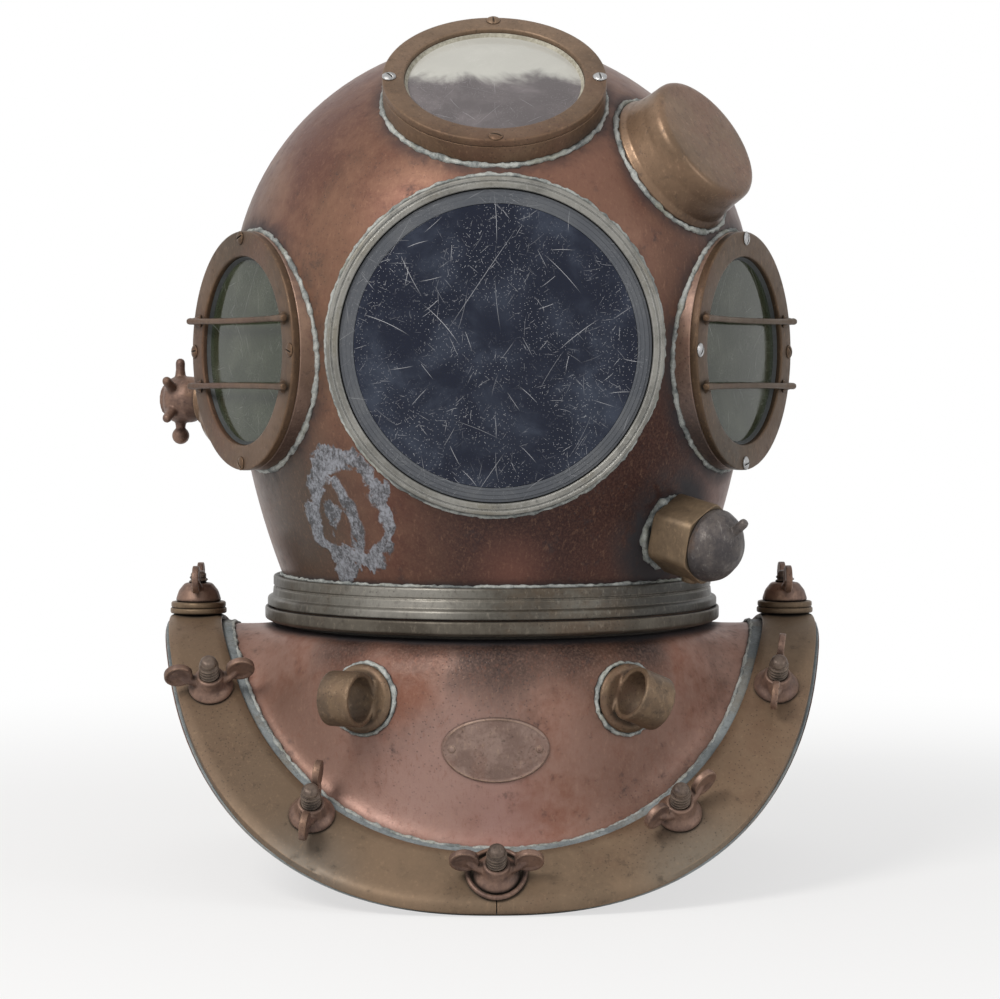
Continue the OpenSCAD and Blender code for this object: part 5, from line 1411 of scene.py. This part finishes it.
def strip(inner, outer, low, top, t0, t1, rows, edge):
    """A flat bar between two ovals, bent over the shoulders, with soft edges."""
    closed = t1 - t0 >= 360
    rings = rows if closed else rows + 1
    section = []
    for i in range(ACROSS + 1):
        u = i / ACROSS
        drop = max(edge * (1 - min(1.0, gap * 9)) ** 2 for gap in (u, 1 - u))
        section.append((u, top - drop))
    section += [(1 - u, low) for u in (0.01, 0.5, 0.99)]
    points = []
    for j in range(rings):
        t = t0 + (t1 - t0) * j / rows
        r_in, r_out = oval_r(inner, t), oval_r(outer, t)
        for u, r_arch in section:
            r = r_in + (r_out - r_in) * u
            points.append(at_turn(r, t, arch_at(r * cos(radians(t)), r_arch)))
    return points, skin(rings, len(section), closed)


tinned = aged_metal("tinned_strip", (0.27, 0.3, 0.31), (0.16, 0.18, 0.19), (0.22, 0.2, 0.165),
                    (0.05, 0.055, 0.055), (0.5, 0.54, 0.54), cloud=40, metal=0.25, rough=0.6, dents=0.3)
band = strip(BAND_IN, BAND_OUT, BAND_LOW_R, BAND_TOP_R, 0, 360, 180, 0.5)
dress(solid("tinned_stud_band", *band, finish=tinned), "breastplate", "tinned_metal", "stud_band")
for q, side in enumerate(("front_right", "back_right", "back_left", "front_left")):
    start, end = 90 * q + JOINT_GAP, 90 * (q + 1) - JOINT_GAP
    bar = strip(BRAIL_IN, BRAIL_OUT, BRAIL_LOW_R, BRAIL_TOP_R, start, end, 54, 1.3)
    dress(solid("brail_bar_" + side, *bar, finish=brail_brass), "breastplate", "aged_brass", "brail_" + side)

# %% [markdown]
# Twelve studs stand on the flange, each leaning with it. A stud is a coarse thread with a chamfered end,
# and the set-out tree stands the same stud on all twelve places.
# %% Studs
STUD_TURNS = (0, 36.8, 65.6, 90)
STUD_INSETS = (12, 10, 15.5, 14.5)
STUD_KINDS = (0, 1, 2, 3, 2, 1, 0, 1, 2, 3, 2, 1)
STUD_R = 5.75
STUD_H = 25.5
STUD_FOOT = 6.15
SHOULDERS = (3, 9)


def station(k):
    """The frame of a stud on its brail; the four turns are mirrored round the whole flange."""
    kind = STUD_KINDS[k]
    quarter, t = k // 3, STUD_TURNS[kind]
    t = (t, 180 - t, 180 + t, 360 - t)[quarter]
    r = oval_r(BRAIL_IN, t) + STUD_INSETS[kind]
    x, y = r * sin(radians(t)), -r * cos(radians(t))
    lean = min(FLANGE_SLOPE, degrees(asin(min(1.0, abs(y) / BRAIL_TOP_R)))) * (1 if y > 0 else -1)
    return shift(x, y, arch_at(y, BRAIL_TOP_R)) @ spin(-lean, "X")


stations = [station(k) for k in range(12)]
core = [(0, -STUD_FOOT), (STUD_R - 1.1, -STUD_FOOT), (STUD_R - 1.1, STUD_H - 2.0, 0.2),
        (STUD_R - 2.2, STUD_H - 0.5, 1), (2.4, STUD_H - 0.1, 1), (0, STUD_H)]
thread = screw_thread(STUD_R - 0.72, 2.4, -1.5, STUD_H - 3.2, 0.7)
stud = solid("stud_pattern", *joined(lathe(core, 28), thread))
worn_stud = aged_metal("worn_stud", (0.14, 0.105, 0.085), (0.06, 0.045, 0.04), (0.1, 0.065, 0.05),
                       BRONZE_GRIME_AND_SHADE, (0.38, 0.3, 0.22), cloud=60, metal=0.4, rough=0.45)
dress(set_out("threaded_studs", stud, stations, worn_stud), "breastplate", "dark_bronze", "studs")
discard(stud)

# %% [markdown]
# A wing nut is one casting: a low cone that flares to a thin skirt, with two round ears on short arms.
# The cone, the ears and the arms are melted together, then the bore is cut for the stud. Every nut stands
# at its own turn, and is a body of its own, so all twelve can spin.
# %% Wing nuts
NUT_R = 13.3
NUT_H = 11.5
EAR_OUT = 17.8
EAR_UP = 14.0
EAR_R = 8.2
EAR_T = 4.0
WING_TURNS = (0, 40, 80, 90, 10, 75, 0, 100, 5, 90, 8, 80)
SEAT_GAP = 0.15
SHOULDER_SEAT = 7.25
BORE_R = STUD_R + 0.06
FLARED_CONE = [(0, 0.2), (NUT_R - 0.8, 0.15, 0.3), (NUT_R, 0.9, 0.7), (12.2, 2.6, 2), (9.2, 5.2, 3),
               (8.0, 9, 3), (7.6, NUT_H, 0.7), (0, NUT_H)]
LOW_CONE = [(0, 0.2), (NUT_R, 0.15, 0.4), (NUT_R, 1.8, 1), (11.8, 6.4, 5), (8.2, NUT_H - 0.6, 3), (0, NUT_H)]


def ear(side):
    """A dished disc with a round edge and the arm that joins it to the cone."""
    half = EAR_T / 2
    face = [(0, -1.0), (EAR_R - 2.6, -1.15, 1.5), (EAR_R - 1.2, -half, 1), (EAR_R, -half, 1.2),
            (EAR_R, half, 1.2), (EAR_R - 1.2, half, 1), (EAR_R - 2.6, 1.15, 1.5), (0, 1.0)]
    bends = ((3, 5.6), (8.5, 7.2), (12.5, 9.6), (EAR_OUT - 2, EAR_UP - 1.6))
    arm = tube([Vector((side * x, 0, z)) for x, z in bends], [3.6, 3.1, 2.6, 1.6], 16, 1.25)
    return [moved(lathe(face, 40), shift(side * EAR_OUT, 0, EAR_UP) @ spin(90, "X")), arm]


def wing_nut(cone):
    nut = cast("nut", [lathe(cone, 56), *ear(1), *ear(-1)], None, dark_bronze, 0.55)
    bore = solid("bore", *lathe([(0, -2), (BORE_R, -2), (BORE_R, 16), (0, 16)], 40))
    return cut_out(nut, bore, dark_bronze)


flared, low = wing_nut(FLARED_CONE), wing_nut(LOW_CONE)
for k, stand in enumerate(stations):
    shoulder = k in SHOULDERS
    place = stand @ shift(z=SHOULDER_SEAT if shoulder else SEAT_GAP) @ spin(WING_TURNS[k])
    nut = set_out(f"flared_nut_{k}", low if shoulder else flared, [place], dark_bronze)
    dress(nut, f"nut_{k}", "dark_bronze", f"wing_nut_{k}")
discard(flared)
discard(low)

# %% [markdown]
# At each shoulder two round plates lie under the nut and bridge the joint of the brails. A wire ring with
# a slight wave lies round the front nut, for a line.
# %% Shoulder plates and front ring
PLATE_R = 16.8
PLATE_T = 3.4
PLATE_BORE = STUD_R + 0.6
WIRE_R = 1.45
discs = []
for k in SHOULDERS:
    for i, r in enumerate((PLATE_R, PLATE_R - 0.5)):
        z = SEAT_GAP + i * (PLATE_T + SEAT_GAP)
        disc = [(PLATE_BORE, z), (r, z, 1.1), (r, z + PLATE_T, 1.2), (PLATE_BORE, z + PLATE_T)]
        discs.append(moved(lathe(disc, 64), stations[k]))
plates = solid("shoulder_discs", *joined(*discs), finish=brass)
dress(plates, "breastplate", "aged_brass", "shoulder_plates")
wire = [stations[0] @ Vector(polar(15.8 + 0.25 * sin(3 * a), a, 1.65)) for a in angles(72)]
front_ring = bead("front_wire_ring", [wire], dark_bronze, WIRE_R, 2.0, 0.04)
dress(front_ring, "breastplate", "dark_bronze", "front_ring")

# %% [markdown]
# Two eyelets carry the lashing of the chest weight. Each is a short piece of brass tube, brazed down on a
# round foot. The tube and the foot are melted together, so the brazed corner is filled.
# %% Eyelets
EYELET_TURN = 31.0
EYELET_DOWN = 0.4
EYELET_BEND = 22.0
EYELET_OFF = 0.4
LOOP_R = 15.5
LOOP_BORE = 12.5
LOOP_Z = 16.7
LOOP_W = 20.0
FOOT_R = 19.5

eyelet_brass = aged_metal("eyelet_brass", (0.175, 0.118, 0.074), (0.11, 0.078, 0.055), (0.15, 0.086, 0.056),
                          BRASS_GRIME_AND_SHADE, (0.5, 0.36, 0.24), cloud=35, metal=0.45, rough=0.46)
half = LOOP_W / 2
foot = [(0, 0), (FOOT_R, 0, 0.5), (FOOT_R, 1.8, 1), (FOOT_R - 2.5, 3.6, 2), (0, 4)]
loop = [(LOOP_BORE, -half, 0.7), (LOOP_R, -half, 0.8), (LOOP_R, half, 0.8), (LOOP_BORE, half, 0.7)]
feet = [on_chest(side * EYELET_TURN, EYELET_DOWN, EYELET_OFF) for side in (-1, 1)]
loops = []
for place, bend in zip(feet, (0.0, -EYELET_BEND)):
    place = place @ spin(bend)
    lie = shift(z=LOOP_Z) @ spin(90, "Y")
    loops += [moved(lathe(foot, 64), place), moved(lathe(loop, 72), place @ lie)]
eyelets = cast("brazed_eyelets", loops, None, eyelet_brass, 0.75)
dress(eyelets, "breastplate", "aged_brass", "eyelets")

# %% [markdown]
# The oval plate below the eyelets is bent to the chest and riveted at both ends. It carries no words
# here. Its raised rim is part of the same sheet: the height over the copper is worked out from the
# distance to the oval's edge.
# %% Bare oval plate
TAG_A = 30.0
TAG_B = 18.5
TAG_DOWN = 0.545
TAG_T = 1.4
TAG_FOOT = 0.15
TAG_TURNS = 96
TAG_SHARES = (0.25, 0.5, 0.75, 0.88, 0.91, 0.925, 0.94, 0.955, 0.97, 0.985, 1.0)
RIM_AT = 0.955
RIM_W = 0.04
RIVET_AT = 24.3

tag_scale = (chest(0, TAG_DOWN + 0.05) - chest(0, TAG_DOWN - 0.05)).length / 0.1


def tag_spot(u, v, off):
    """A spot of the plate, u to the right and v up from its middle."""
    s = TAG_DOWN - v / tag_scale
    return chest_spot(degrees(u / chest(0, s).x), s, off)


def tag_height(f):
    """Thickness of the plate at a share f of the way to its edge."""
    rim = max(0.0, 1 - abs(f - RIM_AT) / RIM_W)
    return TAG_T - 0.45 + 0.5 * rim ** 0.7 if f < 0.999 else TAG_T - 0.6


def oval_plate():
    n = TAG_TURNS
    points = [tag_spot(0, 0, tag_height(0)), tag_spot(0, 0, TAG_FOOT)]
    for top in (True, False):
        for f in TAG_SHARES:
            high = tag_height(f) if top else TAG_FOOT
            points += [tag_spot(TAG_A * f * cos(a), TAG_B * f * sin(a), high) for a in angles(n)]
    faces = []
    levels = len(TAG_SHARES)
    for side in (0, 1):
        base = 2 + side * levels * n
        faces += [(side, base + j, base + (j + 1) % n) for j in range(n)]
        for i in range(levels - 1):
            a, b = base + i * n, base + (i + 1) * n
            faces += [(a + j, b + j, b + (j + 1) % n, a + (j + 1) % n) for j in range(n)]
    top, low = 2 + (levels - 1) * n, 2 + (2 * levels - 1) * n
    faces += [(top + j, low + j, low + (j + 1) % n, top + (j + 1) % n) for j in range(n)]
    return points, faces


plate_brass = aged_metal("plate_brass", (0.27, 0.19, 0.16), (0.18, 0.12, 0.1), (0.21, 0.125, 0.1),
                         BRASS_GRIME_AND_SHADE, (0.5, 0.36, 0.25), cloud=50, metal=0.4, rough=0.44, dents=0.2)
rivet = lathe([(0, 0), (1.9, 0, 0.2), (1.9, 0.5, 0.4), (0, 1.0)], 24)
tag_turn = degrees(RIVET_AT / chest(0, TAG_DOWN).x)
rivets = [moved(rivet, on_chest(t, TAG_DOWN, TAG_T - 0.5)) for t in (-tag_turn, tag_turn)]
plate = solid("bare_oval_plate", *joined(oval_plate(), *rivets), finish=plate_brass, merge=0.0005)
dress(plate, "breastplate", "aged_brass", "name_plate")

# %% [markdown] The return spring of the exhaust valve is hidden in its case.
SPRING_R = 5.0
SPRING_WIRE = 0.6
SPRING_TURNS = 5.0
SPRING_GAP = 0.15
VALVE_TRAVEL = 5.0
CASE_FOOT = 1.5
CASE_DEPTH = 20
VALVE_T = 2.4
sockets = [(name, "Float") for name in ("Radius", "Turns", "Height", "Wire")]
t, given = geometry_tree("wound_spring", sockets)
coil_inputs = {"Resolution": 24, "Rotations": given["Turns"], "Start Radius": given["Radius"],
               "End Radius": given["Radius"], "Height": given["Height"]}
coil = t.add("GeometryNodeCurveSpiral", None, coil_inputs)
sweep = {"Curve": coil, "Profile Curve": ring_of(t, given["Wire"], 10), "Fill Caps": True}
spring_tree = end_tree(t, t.add("GeometryNodeCurveToMesh", None, sweep), given["Finish"])

spring_lo = exhaust_at + CASE_FOOT + SPRING_GAP + VALVE_T + SPRING_WIRE + SPRING_GAP
spring_hi = exhaust_at + CASE_FOOT + CASE_DEPTH - SPRING_WIRE - SPRING_GAP
spring_long = spring_hi - spring_lo
spring = new_object("valve_spring", [(0, 0, 0)], [], [])
grow(spring, spring_tree, steel, Radius=SPRING_R * MM, Turns=SPRING_TURNS, Height=spring_long * MM,
     Wire=SPRING_WIRE * MM)
to_case = Matrix.Scale(MM, 4) @ exhaust_place @ shift(z=spring_lo) @ Matrix.Scale(1 / MM, 4)
spring.data.transform(to_case)
dress(spring, "bonnet", "steel_wire", "exhaust_spring")
kept = 1 - VALVE_TRAVEL / spring_long
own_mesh(spring)

# %% [markdown]
# The beads themselves. Every fitting on the dome meets it along a curve that has no simple formula, so the
# curve is found by halving: a point on the fitting's wall is moved along its axis until it lies on the
# dome. The line follows, and the bead tree lays solder on it.
# %% Solder on the dome
HALVINGS = 24


def dome_line(place, r, near, far, count=150):
    """Points where a round wall of radius r, along a place's axis, meets the dome."""
    line = []
    for a in angles(count):
        low, high = near, far
        for _ in range(HALVINGS):
            middle = (low + high) / 2
            p = place @ Vector(polar(r, a, middle))
            if hypot(p.x, p.y) < dome_at(p.z):
                low = middle
            else:
                high = middle
        line.append(place @ Vector(polar(r, a, low)))
    return line


wide = [dome_line(side_ports["left"], 69.2, 60, 160), dome_line(side_ports["right"], 69.2, 60, 160),
        dome_line(top_port, 63.6, 80, 158), dome_line(cup_place, 43.8, 90, 158)]
narrow = [dome_line(face_port, 94.2, 60, 145), dome_line(exhaust_place, 30.6, 100, 160),
          dome_line(inlet_place, 17.0, 110, 156), dome_line(cable_place, 12.0, 110, 156)]
foot_r = dome_at(BONNET_RING_TOP) + 0.5
narrow.append([Vector(polar(foot_r, a, BONNET_RING_TOP + 0.3)) for a in angles(300)])
dress(bead("port_solder", wide, solder, 1.75, 1.3, 1.2), "bonnet", "tinned_metal")
dress(bead("fitting_solder", narrow, solder, 1.3, 1.15, 1.3), "bonnet", "tinned_metal")
cock_lines = [dome_line(cock_place, r, -25, 25, 90) for r in (11.5, 15, 19)]
dress(bead("cock_solder", cock_lines, solder, 2.9, 1.8, 1.5), "bonnet", "tinned_metal")

# %% [markdown]
# On the breastplate the solder runs along the inner edge of the tinned strip and round the feet of the
# eyelets. The point of the chest under an eyelet's rim is the one nearest to it on the profile of that
# turn.
# %% Solder on the chest
BEAD_OUT = 0.5
SEARCH_STEPS = 200
BAND_BEADS = 400
BAND_BEAD_R = 84.5


def chest_near(p):
    """The point of the chest nearest to a spot, lifted a little out of the copper."""
    t, here = degrees(atan2(p.x, -p.y)), Vector((hypot(p.x, p.y), p.z))
    shares = (i / SEARCH_STEPS for i in range(SEARCH_STEPS + 1))
    return chest_spot(t, min(shares, key=lambda s: (chest(t, s) - here).length), BEAD_OUT)


band_line = []
for i in range(BAND_BEADS):
    t = 360 * i / BAND_BEADS
    r = oval_r(BAND_IN, t) - 0.3
    band_line.append(at_turn(r, t, arch_at(r * cos(radians(t)), BAND_BEAD_R)))
foot_lines = [[chest_near(place @ Vector(polar(20.1, a))) for a in angles(80)] for place in feet]
dress(bead("band_solder", [band_line], solder, 1.25, 1.2, 1.4), "breastplate", "tinned_metal")
dress(bead("eyelet_solder", foot_lines, solder, 1.5, 1.15, 1.25), "breastplate", "tinned_metal")

# %% [markdown]
# The room is plain: one broad soft lamp high on the left, a weaker one on the right, and an even world.
# The world and the floor turn white wherever a camera, a mirror or a glass looks at them, while the
# light that they throw on the helmet stays modest. The floor still shows the helmet's soft shadow.
# %% Room and light
def seen_directly(t):
    """1 for rays that see the background: straight, mirrored or through glass."""
    path = t.add("ShaderNodeLightPath").socket.node
    rays = [Wire(t, path.outputs[name]) for name in ("Is Camera Ray", "Is Glossy Ray", "Is Transmission Ray")]
    return rays[0].math("MAXIMUM", rays[1]).math("MAXIMUM", rays[2])


WORLD_LIGHT = 0.42
FLOOR_SIZE = 6.0
FLOOR_NEAR = 0.3
FLOOR_FAR = 1.1
FLOOR_GLOW = 0.65
LAMP_AIM = 0.12

world = bpy.data.worlds.new("studio")
bpy.context.scene.world = world
t = emptied(world)
soft = t.add("ShaderNodeBackground", None, {"Color": rgb(1, 0.98, 0.96), "Strength": WORLD_LIGHT})
white = t.add("ShaderNodeBackground", None, {"Color": rgb(1, 1, 1), "Strength": 1.0})
t.add("ShaderNodeOutputWorld", None, [t.add("ShaderNodeMixShader", None, [seen_directly(t), soft, white])])


def lamp(name, where, size, watts, colour):
    light = bpy.data.lights.new(name, "AREA")
    light.shape = "DISK"
    light.size = size
    light.energy = watts
    light.color = colour
    made = bpy.data.objects.new(name, light)
    made.location = where
    aimed = Vector((0, 0, LAMP_AIM)) - Vector(where)
    made.rotation_euler = aimed.to_track_quat("-Z", "Y").to_euler()
    bpy.context.scene.collection.objects.link(made)
    print(name, watts, "W")


lamp("key", (-1.15, -1.5, 1.5), 0.9, 34, (1.0, 0.97, 0.93))
lamp("fill", (1.8, -1.2, 0.7), 1.0, 7, (0.95, 0.98, 1.0))

half = FLOOR_SIZE / 2
corners = [(x, y, cad_box[0][2]) for x, y in ((-half, -half), (half, -half), (half, half), (-half, half))]
floor = new_object("floor", corners, [], [(0, 1, 2, 3)])
paper, t, at = new_finish("white_paper")
share = seen_directly(t) * (t.fade(t.length(at), FLOOR_NEAR, FLOOR_FAR) * (1 - FLOOR_GLOW) + FLOOR_GLOW)
matt = t.add("ShaderNodeBsdfPrincipled", None, {"Base Color": rgb(0.85, 0.85, 0.85), "Roughness": 0.9})
glow = t.add("ShaderNodeEmission", None, {"Color": rgb(1, 1, 1), "Strength": 1.0})
t.add("ShaderNodeOutputMaterial", None, [t.add("ShaderNodeMixShader", None, [share, matt, glow])])
floor.data.materials.append(paper)
bpy.context.scene.view_settings.view_transform = "Standard"
